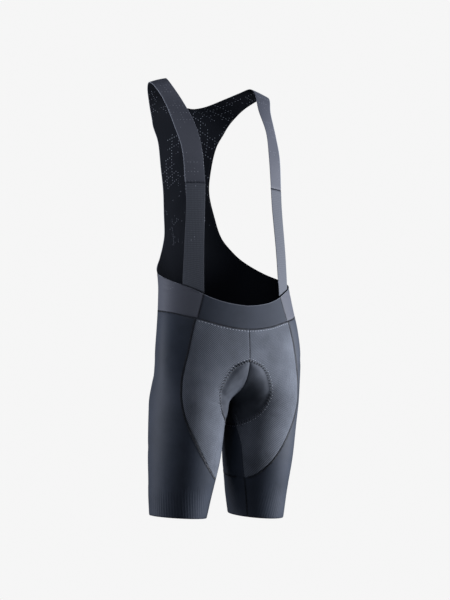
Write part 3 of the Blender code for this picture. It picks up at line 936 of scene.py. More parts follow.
def ribs(around, height):
    """Raised ribs round the hem, each fading out at its own height."""
    number = np.floor(around / RIB_PITCH)
    uneven = 0.006 * np.sin(number * 2.4) + 0.003 * np.sin(number * 5.3)
    strength = 1 - ease(RIB_TOP + uneven - RIB_FADE, RIB_TOP + uneven, height)
    crest = 0.5 + 0.5 * np.cos(2 * math.pi * around / RIB_PITCH)
    return crest ** 1.5 * strength * ease(HEM + 0.0005, HEM + 0.0030, height)


#           around   height   run_around  run_height  width   depth
CREASES = [(-0.135, -0.640, -0.060, -0.030, 0.0060, 0.0012),
           (-0.120, -0.668, -0.075, -0.012, 0.0045, 0.0009),
           (-0.125, -0.704, -0.080, 0.012, 0.0055, 0.0010),
           (-0.060, -0.585, 0.055, 0.012, 0.0080, 0.0008),
           (0.020, -0.610, 0.050, -0.010, 0.0090, 0.0007),
           (0.135, -0.650, 0.075, -0.022, 0.0070, 0.0016),
           (0.150, -0.672, 0.085, -0.006, 0.0050, 0.0012),
           (0.140, -0.700, 0.070, 0.010, 0.0060, 0.0010),
           (0.060, -0.500, 0.060, 0.006, 0.0090, 0.0009),
           (0.040, -0.525, 0.045, -0.008, 0.0070, 0.0007),
           (0.015, -0.760, 0.055, -0.010, 0.0100, 0.0006)]


# %% The troughs
def creases(around, height):
    """Depth of all the soft troughs at each place: negative."""
    total = np.zeros_like(around)
    for start, level, run_around, run_height, width, depth in CREASES:
        length = math.hypot(run_around, run_height)
        along = ((around - start) * run_around + (height - level) * run_height) / length ** 2
        aside = ((around - start) * run_height - (height - level) * run_around) / length
        bend = aside - 0.12 * length * (along - 0.5) ** 2
        ends_in = ease(-0.05, 0.35, along) * (1 - ease(0.55, 1.05, along))
        total -= depth * ends_in * np.exp(-(bend / width) ** 2)
    return total


# %% Build the leg panels
def lay_panel(name, grid, distance, slot, material, padded=False, ribbed=False):
    """Lays a panel on the form with its relief, on both sides of the garment."""
    around, height = grid[..., 0], grid[..., 1]
    points = on_skin(around, height)
    away = outward(points)
    lift = rolled(distance) + creases(around, height)
    attributes = {}
    if padded:
        attributes["padded"], push = over_pad(points.reshape(-1, 3))
        lift = lift + push.reshape(lift.shape)
    if ribbed:
        lift = lift + RIB_HEIGHT * (ribs(around, height) * ease(0.0, 0.004, distance))
    points = points + away * lift[..., None]
    if ribbed:      # below the tips the side panel is a tube: its two edges meet
        closed = height[:, 0] < RING_ROW
        inseam = (points[closed, 0] + points[closed, -1]) / 2
        points[closed, 0] = points[closed, -1] = inseam
    for piece in both(name, points, grid, attributes):
        piece.data.materials.append(material)
        settle(wall(piece), [piece.name.replace("cloth_", "")])


front_panel = panel_grid(centre_front, outer_seam(FRONT_SEAM, -1, centre_front), tip_heights,
                         FRONT_COLUMNS)
seat_panel = panel_grid(outer_seam(SEAT_SEAM, 1, centre_back), centre_back, tip_heights,
                        SEAT_COLUMNS)
side_panel = panel_grid(outer_seam(FRONT_SEAM, 1, centre_front),
                        outer_seam(SEAT_SEAM, -1, centre_back), side_heights, SIDE_COLUMNS)
lay_panel("cloth_front_panel", *front_panel, "front_knit", front_knit, padded=True)
lay_panel("cloth_seat_panel", *seat_panel, "smooth_knit", side_knit, padded=True)
lay_panel("cloth_side_panel", *side_panel, "smooth_knit", side_knit, ribbed=True)

# %% [markdown]
# ## The front waistband
#
# One smooth piece across the belly. Its upper edge is cut raw and bonded, so it stays flat;
# a thin painted highlight along it stands for the light its thickness catches. Its two ends
# are sewn to the back's side wings.

# %% Front waistband
BAND_COLUMNS = 50
BAND_ROWS = 18
BAND_HEIGHT = 0.050


def band_grid():
    """The places of half the band, their distance to a sewn edge and to the raw top edge."""
    rows, distances, from_top = [], [], []
    width = abs(ends(BAND_TOP[0][1])[0]) + BAND_END[0][1]
    shares = edge_places(width, BAND_COLUMNS) / width
    for down in edge_places(BAND_HEIGHT, BAND_ROWS) / BAND_HEIGHT:
        height = np.full(len(shares), BAND_TOP[0][1])
        for _ in range(3):
            end = through(BAND_END, 1, height) - SEAM_GAP / 2
            start = np.array([ends(z)[0] for z in height])
            around = start * (1 - shares) + end * shares
            top = through(BAND_TOP, 1, around)
            foot = through(WAIST_SEAM, 1, around) + SEAM_GAP / 2
            height = top + (foot - top) * down
        rows.append(np.stack([around, height], -1))
        distances.append(np.minimum(end - around, height - foot))
        from_top.append(top - height)
    return np.array(rows), np.array(distances), np.array(from_top)


def whole(points, uv):
    """A grid that starts on the centre plane, made whole with its mirrored half."""
    points[:, 0, 0] = 0
    mirrored = (points[:, :0:-1] * FLIP, uv[:, :0:-1] * [-1, 1] + [2 * uv[0, 0, 0], 0])
    return (np.concatenate([mirrored[0], points], axis=1),
            np.concatenate([mirrored[1], uv], axis=1))


grid, distance, top_distance = band_grid()
points = on_skin(grid[..., 0], grid[..., 1])
points = points + outward(points) * rolled(distance)[..., None]
band_points, band_uv = whole(points, grid)
from_top = np.concatenate([top_distance[:, :0:-1], top_distance], axis=1)
# Where the painted highlight lies along the band's raw top edge.
rim = 1 - ease(0.0004, 0.0014, from_top)
waistband = cloth_mesh("cloth_waistband_front", band_points, band_uv, {"rim": rim})
waistband.data.materials.append(band_knit)
settle(wall(waistband, DOUBLE_CLOTH), ["waistband_front"])

# %% [markdown]
# ## Back, side wings and shoulder arms
#
# The back is one piece. Its rows start at the waist seam, run up the back between the two
# armholes, part at the neckline and end as two arms on the chest. Key rows say where its
# edges lie; a smooth curve through them gives all the others. Along the armholes its edge is
# turned in once and stitched, which makes a raised border 6 mm wide. Everywhere the edge is
# cut raw, and a painted highlight along it shows it as a thin pale line.

# %% Rows of the back and the straps
#            centre_height  edge_around  edge_height
BACK_ROWS = [(-0.477, -0.0875, -0.502),
             (-0.450, -0.0880, -0.4765),
             (-0.424, -0.0890, -0.451),
             (-0.402, -0.0660, -0.441),
             (-0.380, -0.0413, -0.432),
             (-0.360, -0.0130, -0.422),
             (-0.340, 0.0220, -0.410),
             (-0.318, 0.0660, -0.394),
             (-0.293, 0.1237, -0.363),
             (-0.265, 0.1603, -0.334),
             (-0.238, 0.1873, -0.306),
             (-0.200, 0.2115, -0.262),
             (-0.155, 0.2355, -0.205),
             (-0.110, 0.2411, -0.156),
             (-0.065, 0.2354, -0.103)]
#               inner_x  inner_y  inner_z   outer_x  outer_y  outer_z  bulge
SHOULDER_ROWS = [(0.000, 0.108, -0.020, 0.0895, 0.092, -0.070, 0.004),
                 (0.018, 0.1055, -0.0192, 0.0955, 0.0855, -0.056, 0.0035),
                 (0.042, 0.092, -0.014, 0.104, 0.076, -0.041, 0.003),
                 (0.070, 0.053, -0.001, 0.1185, 0.056, -0.020, 0.002),
                 (0.090, 0.023, 0.009, 0.134, 0.030, -0.005, 0.001),
                 (0.104, 0.002, 0.015, 0.144, 0.004, 0.002, 0.001),
                 (0.104, -0.018, 0.001, 0.143, -0.016, -0.007, 0.001),
                 (0.093, -0.052, -0.042, 0.131, -0.040, -0.042, 0.001),
                 (0.086, -0.095, -0.0985, 0.124, -0.072, -0.0985, 0.001),
                 (0.081, -0.114, -0.152, 0.1185, -0.097, -0.152, 0.001),
                 (0.0795, -0.125, -0.222, 0.116, -0.106, -0.222, 0.001)]
SHOULDER_TOP = -0.04     # above this height a strap's crown rises upwards, below it outwards
#            inner_x  inner_y  inner_z   outer_x  outer_y  outer_z  bulge
STRAP_ROWS = [(0.0795, -0.1250, -0.22204, 0.116, -0.1060, -0.22204, 0.001),
              (0.081, -0.127, -0.263, 0.1155, -0.110, -0.263, 0.001),
              (0.087, -0.1335, -0.356, 0.122, -0.1135, -0.356, 0.001),
              (0.0905, -0.1395, -0.4485, 0.1265, -0.114, -0.431, 0.001)]
KEY_COLUMNS = 96         # even columns of the key rows
BACK_COLUMNS = 64        # columns of the finished piece
BACK_LEVELS = (14, 12, 66, 74)   # waist to the band's top corner, past it, neck, chest
FAR = 1.0                # stands for "no such edge" where distances are compared


# %% Curves through the key rows
def length_down(points):
    """How far down the piece each row lies, measured along its middle column."""
    return run_along(points[:, points.shape[1] // 2])


def spline_rows(keys, counts):
    """Rows on smooth curves through key rows, with a count of rows for each stretch."""
    run = length_down(keys)
    last = len(run) - 1
    places = [run[0]]
    for first, end, count in counts:
        places += list(np.linspace(run[first], run[end], count + 1)[1:])
    rows = []
    for place in places:
        index = int(np.clip(np.searchsorted(run, place, side="right") - 1, 0, last - 1))
        lead, tail = max(index - 1, 0), min(index + 2, last)
        width = run[index + 1] - run[index]
        start_slope = (keys[index + 1] - keys[lead]) / (run[index + 1] - run[lead]) * width
        end_slope = (keys[tail] - keys[index]) / (run[tail] - run[index]) * width
        rows.append(curve((place - run[index]) / width, keys[index], start_slope,
                          keys[index + 1], end_slope))
    return np.array(rows)


# %% Points of one key row
def ribbon_row(row, columns):
    """Points across a strap, from its inner to its outer edge, with a small crown."""
    inner, outer, bulge = np.array(row[:3]), np.array(row[3:6]), row[6]
    across = outer - inner
    side = np.array([0.0, 0.0, 1.0])
    if inner[2] < SHOULDER_TOP:
        side = np.array([0.0, np.sign(inner[1]), 0.0])
    lift = side - across * np.dot(side, across) / np.dot(across, across)
    t = np.linspace(0, 1, columns + 1)[:, None]
    return inner + across * t + lift * bulge * 4 * t * (1 - t)


def back_row(row, columns):
    """Points of a row of the back piece, on the skin from the centre back to its edge."""
    centre_height, edge_around, edge_height = row
    if edge_height <= BAND_TOP[-1][1]:
        edge_around = float(through(BAND_END, 1, edge_height)) + SEAM_GAP / 2
    share = np.linspace(0, 1, columns + 1)
    start = ends(centre_height)[1]
    around = start + (edge_around - start) * share
    height = centre_height + (edge_height - centre_height) * share
    if row == BACK_ROWS[0]:
        height = through(WAIST_SEAM, 1, around) + SEAM_GAP / 2
    return on_skin(around, height)


# %% Spacing and directions of a grid
def spaced_across(rows, count):
    """Moves each row's points so that they lie close together at both edges.

    Returns the points, their distance from the row's start and the row's whole width.
    """
    points, places, widths = [], [], []
    for row in rows:
        run = run_along(row)
        place = edge_places(run[-1], count)
        points.append(read_at(place, run, row))
        places.append(place)
        widths.append(run[-1])
    return np.array(points), np.array(places), np.array(widths)


def grid_outward(points):
    """Unit directions square to a grid of points, from its own rows and columns."""
    return unit(np.cross(np.gradient(points, axis=0), np.gradient(points, axis=1)))


# %% Build the back
HEM_WIDTH = 0.0058       # turned hem along the armholes
HEM_LIFT = 0.0004
HEM_ENDS = 14            # the hem fades out over this many rows, where the arms start


def turned_hem(distance):
    """The raised border of a free edge, at a distance from it."""
    return HEM_LIFT * (1 - ease(HEM_WIDTH - 0.0008, HEM_WIDTH + 0.0008, distance))


keys = np.array([back_row(row, KEY_COLUMNS) for row in BACK_ROWS]
                + [ribbon_row(row, KEY_COLUMNS) for row in SHOULDER_ROWS])
corner = [row[2] for row in BACK_ROWS].index(BAND_TOP[-1][1])
neck = len(BACK_ROWS) - corner
band_part, turn_part, back_part, arm_part = BACK_LEVELS
foot_rows = spline_rows(keys[:corner + 1], [(0, corner, band_part)])
rest_rows = spline_rows(keys[corner:], [(0, 2, turn_part), (2, neck, back_part),
                                        (neck, len(keys) - corner - 1, arm_part)])
back_rows = np.concatenate([foot_rows, rest_rows[1:]])
joined = band_part + turn_part + back_part + 1

# The curve swings a little past the centre plane just before the neck, so each row is pulled
# back to it, less and less towards the free edge.
astray = back_rows[:joined, :1, 0].copy()
back_rows[:joined, :, 0] -= astray * np.linspace(1, 0, back_rows.shape[1])
back_points, back_place, back_width = spaced_across(back_rows, BACK_COLUMNS)
back_points[:joined, 0, 0] = 0

to_outer = back_width[:, None] - back_place
row_number = np.arange(len(back_points))[:, None]
sewn = row_number <= band_part
waist_seam = np.linalg.norm(back_points - back_points[:1], axis=-1)
free_edge = np.where(sewn, FAR, to_outer)
hem = turned_hem(free_edge) * (1 - ease(joined - HEM_ENDS, joined, row_number))
chest_seam = np.linalg.norm(back_points - back_points[-1:], axis=-1)
roll = rolled(np.minimum.reduce([np.where(sewn, to_outer, FAR), waist_seam, chest_seam]))
away = grid_outward(back_points)
away[:joined, 0, 0] = 0
lifted = back_points + unit(away) * (hem + roll)[..., None]
lifted[:joined, 0, 0] = 0
down = length_down(back_points)
back_uv = np.stack([back_place, np.repeat(down[:, None], back_place.shape[1], 1)], -1)
print("back:", lifted.shape, "points, arm length", round(float(down[-1] - down[joined]), 3))

# The mesh holds the left half, and a modifier mirrors it at the centre plane.
# The attribute "rim" marks where a painted highlight runs along the free raw edge.
back = cloth_mesh("cloth_back_bib", lifted, back_uv,
                  {"rim": 1 - ease(0.0004, 0.0016, free_edge)})
mirror = back.modifiers.new("Both halves", "MIRROR")
mirror.merge_threshold = 0.0001
mirror.use_clip = False
back.data.materials.append(back_outside)
# Its inner face takes the painted shade of the inside.
back.data.materials.append(back_inside_painted_shade)
wall(back, CLOTH, inner_slot=1)
settle(back, ["back_bib"])

# %% [markdown]
# ## Front straps
#
# Two flat stretch tapes run from the arms down to the waistband. They lie flat on the chest
# and end on the slant of the band's corner.

# %% Straps
STRAP_KEY_COLUMNS, STRAP_COLUMNS, STRAP_ROWS_DOWN = 24, 16, 90
strap_keys = np.array([ribbon_row(row, STRAP_KEY_COLUMNS) for row in STRAP_ROWS])
strap_rows = spline_rows(strap_keys, [(0, len(STRAP_ROWS) - 1, STRAP_ROWS_DOWN)])
points, place, width = spaced_across(strap_rows, STRAP_COLUMNS)
chest_line = points[0]
down = length_down(points)
end_distance = np.minimum(down, down[-1] - down)[:, None] + 0 * place
points = points + grid_outward(points) * rolled(end_distance)[..., None]
strap_uv = np.stack([place, np.repeat(down[:, None], place.shape[1], 1)], -1)
for piece in both("cloth_front_strap", points, strap_uv):
    piece.data.materials.append(strap_tape)
    settle(wall(piece, DOUBLE_CLOTH), [piece.name.replace("cloth_", "")])
print("strap:", round(float(down[-1]), 3), "m long,", round(float(width.mean()), 3), "m wide")

# %% [markdown]
# ## Seat pad
#
# A moulded foam pad lies behind the crotch: thick under the sit bones, thinned to a film at
# its rim. It hides inside the shorts, so it is made plainly, as one closed form from the
# same walk that gave its outline.

# %% Seat pad
PAD_CLEARANCE = 0.0036   # from the skin to the pad's outer face
PAD_EDGE = 0.0015
PAD_THICK = 0.0065       # added to the edge where the pad is thickest


def pad_form():
    """Points of the pad's outer and inner face, both sides of the centre line."""
    share_down = pad_run / pad_length
    share_out = np.linspace(0, 1, PAD_COLUMNS + 1)
    body = ((1 - share_out[None, :] ** 4) * (1 - (2 * share_down[:, None] - 1) ** 6)) ** 0.5
    away = outward(pad_half)
    outer = pad_half - away * PAD_CLEARANCE
    inner = outer - away * (PAD_EDGE + PAD_THICK * body)[..., None]
    uv = np.stack([half_widths[:, None] * share_out, pad_run[:, None] + 0 * share_out], -1)
    return whole(outer, uv), whole(inner, uv)


def closed_form(name, outer, inner):
    """A closed mesh between two grids, with a strip that joins their borders."""
    (outer_points, outer_uv), (inner_points, inner_uv) = outer, inner
    grid_faces, index = quads(*outer_points.shape[:2])
    loop = np.concatenate([index[0, :-1], index[:-1, -1], index[-1, :0:-1], index[:0:-1, 0]])
    after = np.roll(loop, -1)
    strip = np.stack([loop, after, after + index.size, loop + index.size], -1)
    faces = np.concatenate([grid_faces, grid_faces[:, ::-1] + index.size, strip])
    points = np.concatenate([outer_points.reshape(-1, 3), inner_points.reshape(-1, 3)])
    places = np.concatenate([outer_uv.reshape(-1, 2), inner_uv.reshape(-1, 2)])
    return new_piece(name, points, faces.tolist(), places[faces.ravel()])


DIMPLE_PITCH = 0.0075
DIMPLE_RADIUS = 0.0012


def brushed_foam():
    """The pad's face: brushed microfibre over foam, charcoal with a fine dimple, darkened by
    painted shade.
    """
    material, shader, across, down = fabric("brushed_pad_microfibre", 0.9, 0.4)
    dimples = holes(material, across, down, DIMPLE_PITCH, DIMPLE_RADIUS)
    # The darker tone is painted shade in the hollows of the dimples.
    colour = blend_colours(material, dimples, linear("#2B2F36"), linear("#15171B"))
    relief = maths(material, "SUBTRACT", 1.0, dimples)
    return finish_fabric(material, shader, colour, relief, 0.0006)


pad_outer, pad_inner = pad_form()
pad = closed_form("foam_seat_pad", pad_outer, pad_inner)
pad.data.materials.append(brushed_foam())
settle(pad, ["seat_pad"])

# %% [markdown]
# ## Threads
#
# The garment is held together by flat seams: the two cloths lie edge to edge and a zigzag of
# thread bridges them, with straight stitches beside it. One stitch is modelled once, as a
# small spindle, and copied along each line. To lay a stitch on the cloth we send a ray down
# on it from just above.

# %% One stitch
bpy.ops.object.select_all(action="DESELECT")
bpy.ops.mesh.primitive_uv_sphere_add(segments=6, ring_count=5, radius=0.5,
                                     rotation=(0, math.pi / 2, 0))
spindle = bpy.context.object
bpy.ops.object.transform_apply(location=False, rotation=True, scale=False)
STITCH_POINTS = np.array([vertex.co[:] for vertex in spindle.data.vertices])
STITCH_FACES = [list(face.vertices) for face in spindle.data.polygons]
bpy.data.objects.remove(spindle)
print("one stitch:", len(STITCH_FACES), "faces")

# %% Finding the cloth under a stitch
LEFT_CLOTH = ("cloth_front_panel_left", "cloth_side_panel_left", "cloth_seat_panel_left",
              "cloth_waistband_front", "cloth_back_bib", "cloth_front_strap_left")


def cloth_under():
    """A search tree of the outer faces of all the cloth on the wearer's left."""
    points, faces = [], []
    for name in LEFT_CLOTH:
        mesh = bpy.data.objects[name].data
        first = len(points)
        points += [vertex.co.copy() for vertex in mesh.vertices]
        faces += [[first + corner for corner in face.vertices] for face in mesh.polygons]
    return BVHTree.FromPolygons(points, faces)


cloth_tree = cloth_under()
RAY_REACH = 0.008        # how far above the cloth a ray starts


def on_cloth(points, ups):
    """The points moved along their upward directions onto the cloth."""
    found = []
    for point, up in zip(points, ups):
        hit = cloth_tree.ray_cast(Vector(point + up * RAY_REACH), Vector(-up), 2 * RAY_REACH)[0]
        found.append(point if hit is None else np.array(hit[:]))
    return np.array(found)


# %% Lines of stitches
def evenly(points, step, ups_of):
    """A line read at even steps: its points, and its directions along, up and across."""
    run = run_along(points)
    even = read_at(np.linspace(0, run[-1], max(2, round(run[-1] / step)) + 1), run, points)
    ups = ups_of(even)
    along = unit(np.gradient(even, axis=0))
    return even, along, ups, unit(np.cross(ups, along))


def zigzag(line, ups_of, half_width, pitch, shift=0.0):
    """Stitches that cross a line back and forth."""
    points, _, ups, across = evenly(line, pitch / 2, ups_of)
    swing = np.where(np.arange(len(points)) % 2, half_width, -half_width) + shift
    turns = on_cloth(points + across * swing[:, None], ups)
    return turns[:-1], turns[1:], ups[:-1]


def dashes(line, ups_of, pitch, length, shift=0.0):
    """Straight stitches along a line, or beside it."""
    points, along, ups, across = evenly(line, pitch, ups_of)
    middle = on_cloth(points + across * shift, ups)
    return middle - along * length / 2, middle + along * length / 2, ups


def slashes(line, ups_of, pitch, half_width, lean):
    """Separate slanting stitches across a line."""
    points, along, ups, across = evenly(line, pitch, ups_of)
    reach = across * half_width + along * lean
    return on_cloth(points - reach, ups), on_cloth(points + reach, ups), ups


def together(*groups):
    """Several lines of stitches as one."""
    return [np.concatenate(parts) for parts in zip(*groups)]


# %% Sewing a line
def sew(name, stitches, diameter, material, nodes, slot):
    """One piece from all the stitches of a line and of its mirror image."""
    starts, stops, ups = (np.concatenate([part, part * FLIP]) for part in stitches)
    length = np.linalg.norm(stops - starts, axis=1, keepdims=True)
    along = (stops - starts) / length
    side = unit(np.cross(ups, along))
    up = np.cross(along, side)
    middle = (starts + stops) / 2 + up * diameter * 0.3
    shape = STITCH_POINTS * [1.1, diameter, diameter * 0.8]
    points = (middle[:, None] + along[:, None] * shape[None, :, :1] * length[:, None]
              + side[:, None] * shape[None, :, 1:2] + up[:, None] * shape[None, :, 2:])
    faces = [[corner + number * len(shape) for corner in face]
             for number in range(len(starts)) for face in STITCH_FACES]
    corner = np.concatenate([np.array(face) for face in STITCH_FACES])
    measure = np.stack([shape[corner, 1], shape[corner, 0] * float(length.mean())], -1)
    piece = new_piece(name, points, faces, np.tile(measure.ravel(), len(starts)))
    piece.data.materials.append(material)
    settle(piece, nodes)


# %% [markdown]
# ### Where the threads run
#
# Dark stitching on the long seams, a row of light dots under the waist seam, slanting stitches
# round the pad with a small light one beside each, and the stitch lines that hold the hems.
# Each line is a table of places on the skin, or follows the edge of a piece.

# %% Lines on the garment
THREAD = 0.00055
FLATLOCK_THREAD = 0.0008 # the front seams are sewn with a bulkier thread
DOT_THREAD = 0.0012
PAD_THREAD = 0.0021
PAD_TURN_THREAD = 0.0009
PAD_STITCH = 0.0064      # from one stitch of the pad's outline to the next
DOTS_BELOW = 0.0036      # from the waist seam down to its row of dots
FRONT_INSET = 0.0008     # the front seam's stitching lies on the side panel
RISE_INSET = 0.0010      # and the rise's a little beside the centre plane
HEM_STITCH_UP = 0.0022   # from the hem up to its stitches
STITCH_IN = HEM_WIDTH - 0.0010   # from the armhole's edge to the hem's stitches


def seam_line(around_of, first, last, count):
    """Points down the skin from the first to the last height."""
    heights = np.linspace(first, last, count)
    return on_skin(around_of(heights), heights)


def waist_line(first, last, count, below=0.0):
    """Points along the waist seam, or a distance below it."""
    around = np.linspace(first, last, count)
    return on_skin(around, through(WAIST_SEAM, 1, around) - below)


front_line = seam_line(lambda z: through(FRONT_SEAM, 1, z) + FRONT_INSET,
                       -0.5025, TIP_ROW + 0.001, 160)
seat_line = seam_line(lambda z: through(SEAT_SEAM, 1, z), -0.4795, TIP_ROW + 0.001, 180)
inseam_line = seam_line(lambda z: ends(z)[1], RING_ROW, HEM + 0.0002, 60)
band_line = seam_line(lambda z: through(BAND_END, 1, z), -0.5025, -0.4515, 30)
rise_line = seam_line(lambda z: ends(z)[0] + RISE_INSET, -0.530, PAD_TOP - 0.002, 30)
seat_rise = seam_line(lambda z: ends(z)[1] - RISE_INSET, -0.484, CROTCH_HEIGHT - 0.001, 80)[:-1]
seam_of_waist = waist_line(ends(-0.522)[0] + 0.001, ends(-0.477)[1] - 0.001, 300)
dot_line = waist_line(ends(-0.526)[0] + 0.003, -0.092, 90, DOTS_BELOW)
hem_around = np.linspace(*ends(HEM + HEM_STITCH_UP), 300)
hem_line = on_skin(hem_around, np.full(300, HEM + HEM_STITCH_UP))
pad_line = np.concatenate([pad_half[:1, 0], pad_half[1:-1, -1], pad_half[-1:, 0]])
arm_line = np.concatenate([read_at([back_width[row] - STITCH_IN], back_place[row], lifted[row])
                           for row in range(band_part + 1, joined - HEM_ENDS)])
back_tree = BVHTree.FromPolygons([Vector(p) for p in lifted.reshape(-1, 3)],
                                 [face.vertices[:] for face in back.data.polygons])


def ups_of_back(points):
    """Directions out of the back piece, which stands clear of the skin at the shoulders."""
    return np.array([back_tree.find_nearest(Vector(point))[1][:] for point in points])


# %% Sew
FRONT_PANELS = ["front_panel_left", "front_panel_right"]
SIDE_PANELS = ["side_panel_left", "side_panel_right"]
SEAT_PANELS = ["seat_panel_left", "seat_panel_right"]
STRAPS = ["front_strap_left", "front_strap_right"]

# Each row holds a name, its lines of stitches, the thread's diameter, its material, the solids
# it stands for and its slot. The numbers of a line are, in this order,
#   zigzag: half_width, pitch, shift    dashes: pitch, length, shift
#   slashes: pitch, half_width, lean
STITCHES = [
    ("thread_front_seams", [zigzag(front_line, outward, 0.0016, 0.0020, 0.0012),
                            dashes(front_line, outward, 0.0026, 0.0024, 0.0032),
                            dashes(front_line, outward, 0.0026, 0.0024, -0.0006)],
     FLATLOCK_THREAD, dark_thread, SIDE_PANELS, "smooth_knit"),
    ("thread_seat_seams", [zigzag(seat_line, outward, 0.0021, 0.0022),
                           dashes(seat_line, outward, 0.0026, 0.0024, 0.0023),
                           dashes(seat_line, outward, 0.0026, 0.0024, -0.0023)],
     THREAD, dark_thread, SEAT_PANELS, "smooth_knit"),
    ("thread_rise_seams", [dashes(rise_line, outward, 0.0040, 0.0026),
                           dashes(seat_rise, outward, 0.0030, 0.0022)],
     THREAD, dark_thread, FRONT_PANELS + SEAT_PANELS, "front_knit"),
    ("thread_waist_seam", [zigzag(seam_of_waist, outward, 0.0018, 0.0024),
                           zigzag(band_line, outward, 0.0018, 0.0024)],
     THREAD, dark_thread, ["waistband_front"], "band_knit"),
    ("thread_waist_dots", [dashes(dot_line, outward, 0.0066, 0.0030)],
     DOT_THREAD, light_thread, FRONT_PANELS, "front_knit"),
    ("thread_pad_outline", [slashes(pad_line, outward, PAD_STITCH, 0.0029, 0.0013)],
     PAD_THREAD, dark_thread, FRONT_PANELS, "front_knit"),
    ("thread_pad_turns", [dashes(pad_line, outward, PAD_STITCH, 0.0018, 0.0040)],
     PAD_TURN_THREAD, light_thread, FRONT_PANELS, "front_knit"),
    ("thread_arm_hems", [dashes(arm_line, ups_of_back, 0.0030, 0.0022)],
     THREAD, slate_thread, ["back_bib"], "perforated_mesh"),
    ("thread_chest_seams", [zigzag(chest_line, ups_of_back, 0.0016, 0.0022)],
     THREAD, slate_thread, STRAPS, "strap_elastic"),
    ("thread_leg_hems", [dashes(hem_line, outward, 0.0030, 0.0024),
                         zigzag(inseam_line, outward, 0.0021, 0.0022)],
     THREAD, dark_thread, SIDE_PANELS, "smooth_knit")]
for name, lines, *rest in STITCHES:
    sew(name, together(*lines), *rest)

# %% [markdown]
# ### Let the hems hang
#
# Real hems aren't quite level. The foot of each leg, with its stitches, is moved up or down a
# few millimetres, each leg in its own way.

# %% Hang the hems
#                     all_round outwards forwards
HEM_HANG = np.array([(-0.0042, -0.0036, -0.0045),     # the wearer's left leg
                     (0.0003, 0.0038, -0.0008)])      # and the right one
HEM_HANG_TOP = -0.850    # above this height the cloth doesn't feel it


def hang(piece):
    """Moves the foot of a piece up or down, on both legs."""
    mesh = piece.data
    flat = np.zeros(len(mesh.vertices) * 3, np.float32)
    mesh.vertices.foreach_get("co", flat)
    points = flat.reshape(-1, 3)
    foot = LEG[-1]
    share = 1 - ease(HEM, HEM_HANG_TOP, points[:, 2])
    drop = HEM_HANG[(points[:, 0] < 0).astype(int)]
    outwards = (np.abs(points[:, 0]) - foot[1]) / foot[3]
    forwards = -(points[:, 1] - foot[2]) / foot[4]
    points[:, 2] += share * (drop[:, 0] + drop[:, 1] * outwards + drop[:, 2] * forwards)
    mesh.vertices.foreach_set("co", points.ravel())
    mesh.update()
    print(piece.name, "now reaches down to", round(float(points[:, 2].min()), 4))


for name in ("cloth_side_panel_left", "cloth_side_panel_right", "thread_leg_hems"):
    hang(bpy.data.objects[name])

# %% [markdown]
# ## The cut of each sheet
#
# A stretch garment is cut smaller than its wearer. These are the sizes of the flat cut
# pieces, before they are sewn and stretched.

# %% Cloth sheets
#        piece                    width  length  area    pieces on it
CUTS = [("cloth_back_bib", 0.550, 0.740, 0.126, ["thread_arm_hems"]),
        ("cloth_waistband_front", 0.195, 0.060, 0.0092, ["thread_waist_seam"]),
        ("cloth_front_panel_left", 0.145, 0.315, 0.0334,
         ["thread_waist_dots", "thread_pad_outline", "thread_pad_turns", "thread_rise_seams"]),
        ("cloth_front_panel_right", 0.145, 0.315, 0.0334, []),
        ("cloth_side_panel_left", 0.400, 0.410, 0.0856,
         ["thread_front_seams", "thread_leg_hems"]),
        ("cloth_side_panel_right", 0.400, 0.410, 0.0856, []),
        ("cloth_seat_panel_left", 0.183, 0.350, 0.0458, ["thread_seat_seams"]),
        ("cloth_seat_panel_right", 0.183, 0.350, 0.0458, []),
        ("cloth_front_strap_left", 0.039, 0.198, 0.0077, ["thread_chest_seams"]),
        ("cloth_front_strap_right", 0.039, 0.198, 0.0077, [])]
for name, cut_width, cut_length, cut_area, on_it in CUTS:
    piece = bpy.data.objects[name]
    halves = 2 if name == "cloth_back_bib" else 1     # its other half comes from the mirror
    worn = halves * sum(face.area for face in piece.data.polygons)
    print(f"{name}: cut {cut_area} m2, worn {worn:.4f} m2")

# %% [markdown]
# ## Stage, lights and camera
#
# The garment stands cut out on a pale ground. That ground is a large dome that only the
# camera sees, so it lights nothing. Dark cloth is drawn by its lights: a broad soft key from
# the right, a tall strip from the left that finds only the edge, two weak fills from the
# front, above and below, and a dim room. A black card that the camera doesn't see keeps the
# strip off the inside of the far leg.

# %% Stage
def stage_object(piece, name, material):
    """Applies a stage object's place and size, and gives it its name and material."""
    piece.name = name
    bpy.ops.object.transform_apply(location=True, rotation=True, scale=True)
    piece.data.materials.append(material)
    piece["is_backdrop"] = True


ground = bpy.data.materials.new("pale_studio_ground")
ground.use_nodes = True
ground.node_tree.nodes.remove(ground.node_tree.nodes["Principled BSDF"])
glow = add(ground, "ShaderNodeEmission", {"Color": (0.92, 0.92, 0.92, 1), "Strength": 1.0})
ground.node_tree.links.new(glow.outputs[0],
                           ground.node_tree.nodes["Material Output"].inputs["Surface"])
bpy.ops.object.select_all(action="DESELECT")
bpy.ops.mesh.primitive_uv_sphere_add(segments=48, ring_count=24, radius=6.0,
                                     location=(0.0, 0.0, -0.5))
dome = bpy.context.object
bpy.ops.object.shade_smooth()
for hidden_from in ("diffuse", "glossy", "transmission", "volume_scatter", "shadow"):
    setattr(dome, f"visible_{hidden_from}", False)
stage_object(dome, "studio_dome", ground)

world = bpy.data.worlds.new("dim_room")
world.use_nodes = True
room = world.node_tree.nodes["Background"].inputs
room["Color"].default_value = (0.75, 0.87, 1.0, 1)
room["Strength"].default_value = 0.035
bpy.context.scene.world = world
bpy.context.scene.view_settings.view_transform = "Standard"

# %% Lights
VIEW_TURN = -30.0        # the camera looks along a line turned this far from +Y, in degrees
MIDDLE = Vector((0.0, 0.0, -0.50))


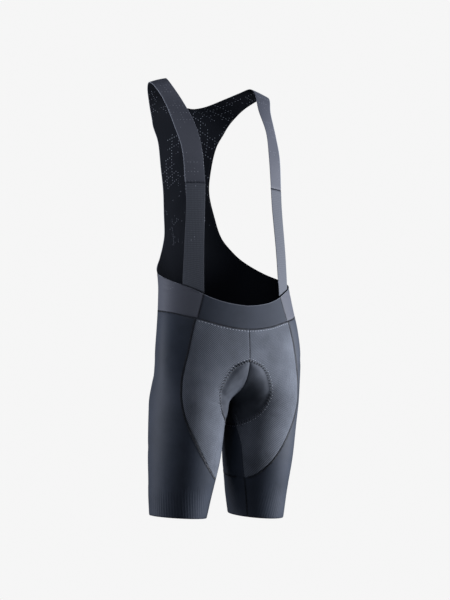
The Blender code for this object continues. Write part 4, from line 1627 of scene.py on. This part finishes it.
def lamp(name, bearing, distance, height, size, energy, colour):
    """An area light at a bearing from the camera's side of the garment, degrees rightwards."""
    turn = math.radians(VIEW_TURN + bearing)
    place = Vector((math.sin(turn) * distance, -math.cos(turn) * distance, height))
    light = bpy.data.lights.new(name, "AREA")
    light.shape = "RECTANGLE"
    light.size, light.size_y = size
    light.energy = energy
    light.color = linear(colour)[:3]
    made = bpy.data.objects.new(name, light)
    made.location = place
    made.rotation_euler = (MIDDLE - place).to_track_quat("-Z", "Y").to_euler()
    bpy.context.scene.collection.objects.link(made)


#         name      bearing distance height size      energy colour
LAMPS = [("soft_key", 93.0, 2.2, -0.60, (1.0, 1.1), 150.0, "#F3F6FF"),
         ("edge_strip", -90.0, 2.2, -0.55, (1.2, 1.6), 62.0, "#EEF2FF"),
         ("front_fill", -5.0, 1.0, 0.42, (0.6, 0.5), 7.0, "#EEF2FF"),
         ("low_fill", -22.0, 1.1, -1.25, (0.6, 0.4), 1.3, "#EEF2FF")]
for row in LAMPS:
    lamp(*row)

# %% Black card
matte = bpy.data.materials.new("black_card")
matte.use_nodes = True
surface = matte.node_tree.nodes["Principled BSDF"].inputs
surface["Base Color"].default_value = (0.01, 0.01, 0.01, 1)
surface["Roughness"].default_value = 0.9
rightwards = Vector((math.cos(math.radians(VIEW_TURN)), math.sin(math.radians(VIEW_TURN)), 0))
forward = Vector((-rightwards.y, rightwards.x, 0))
bpy.ops.object.select_all(action="DESELECT")
bpy.ops.mesh.primitive_plane_add(size=1.0, rotation=(math.pi / 2, 0, math.radians(60)))
card = bpy.context.object
card.scale = (0.44, 0.30, 1.0)
card.location = rightwards * -0.34 + forward * 0.31 + Vector((0, 0, -0.80))
card.visible_camera = False
stage_object(card, "studio_black_card", matte)

# %% Camera
camera_data = bpy.data.cameras.new("camera")
camera_data.lens = 79.62
camera_data.sensor_width = 36.0
camera_data.shift_x = -0.0008
camera_data.shift_y = 0.15
camera = bpy.data.objects.new("camera", camera_data)
camera.location = (-1.4, -2.4949, -0.6457)
camera.rotation_euler = (math.radians(90), 0.0, math.radians(VIEW_TURN))
bpy.context.scene.collection.objects.link(camera)
bpy.context.scene.camera = camera

# %% How far the pieces reach past the frame, and the end
low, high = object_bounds()
pairs = zip((*low, *cad_high), (*cad_low, *high))
print("grown by", [round(1000 * (outer - inner), 1) for inner, outer in pairs], "mm")
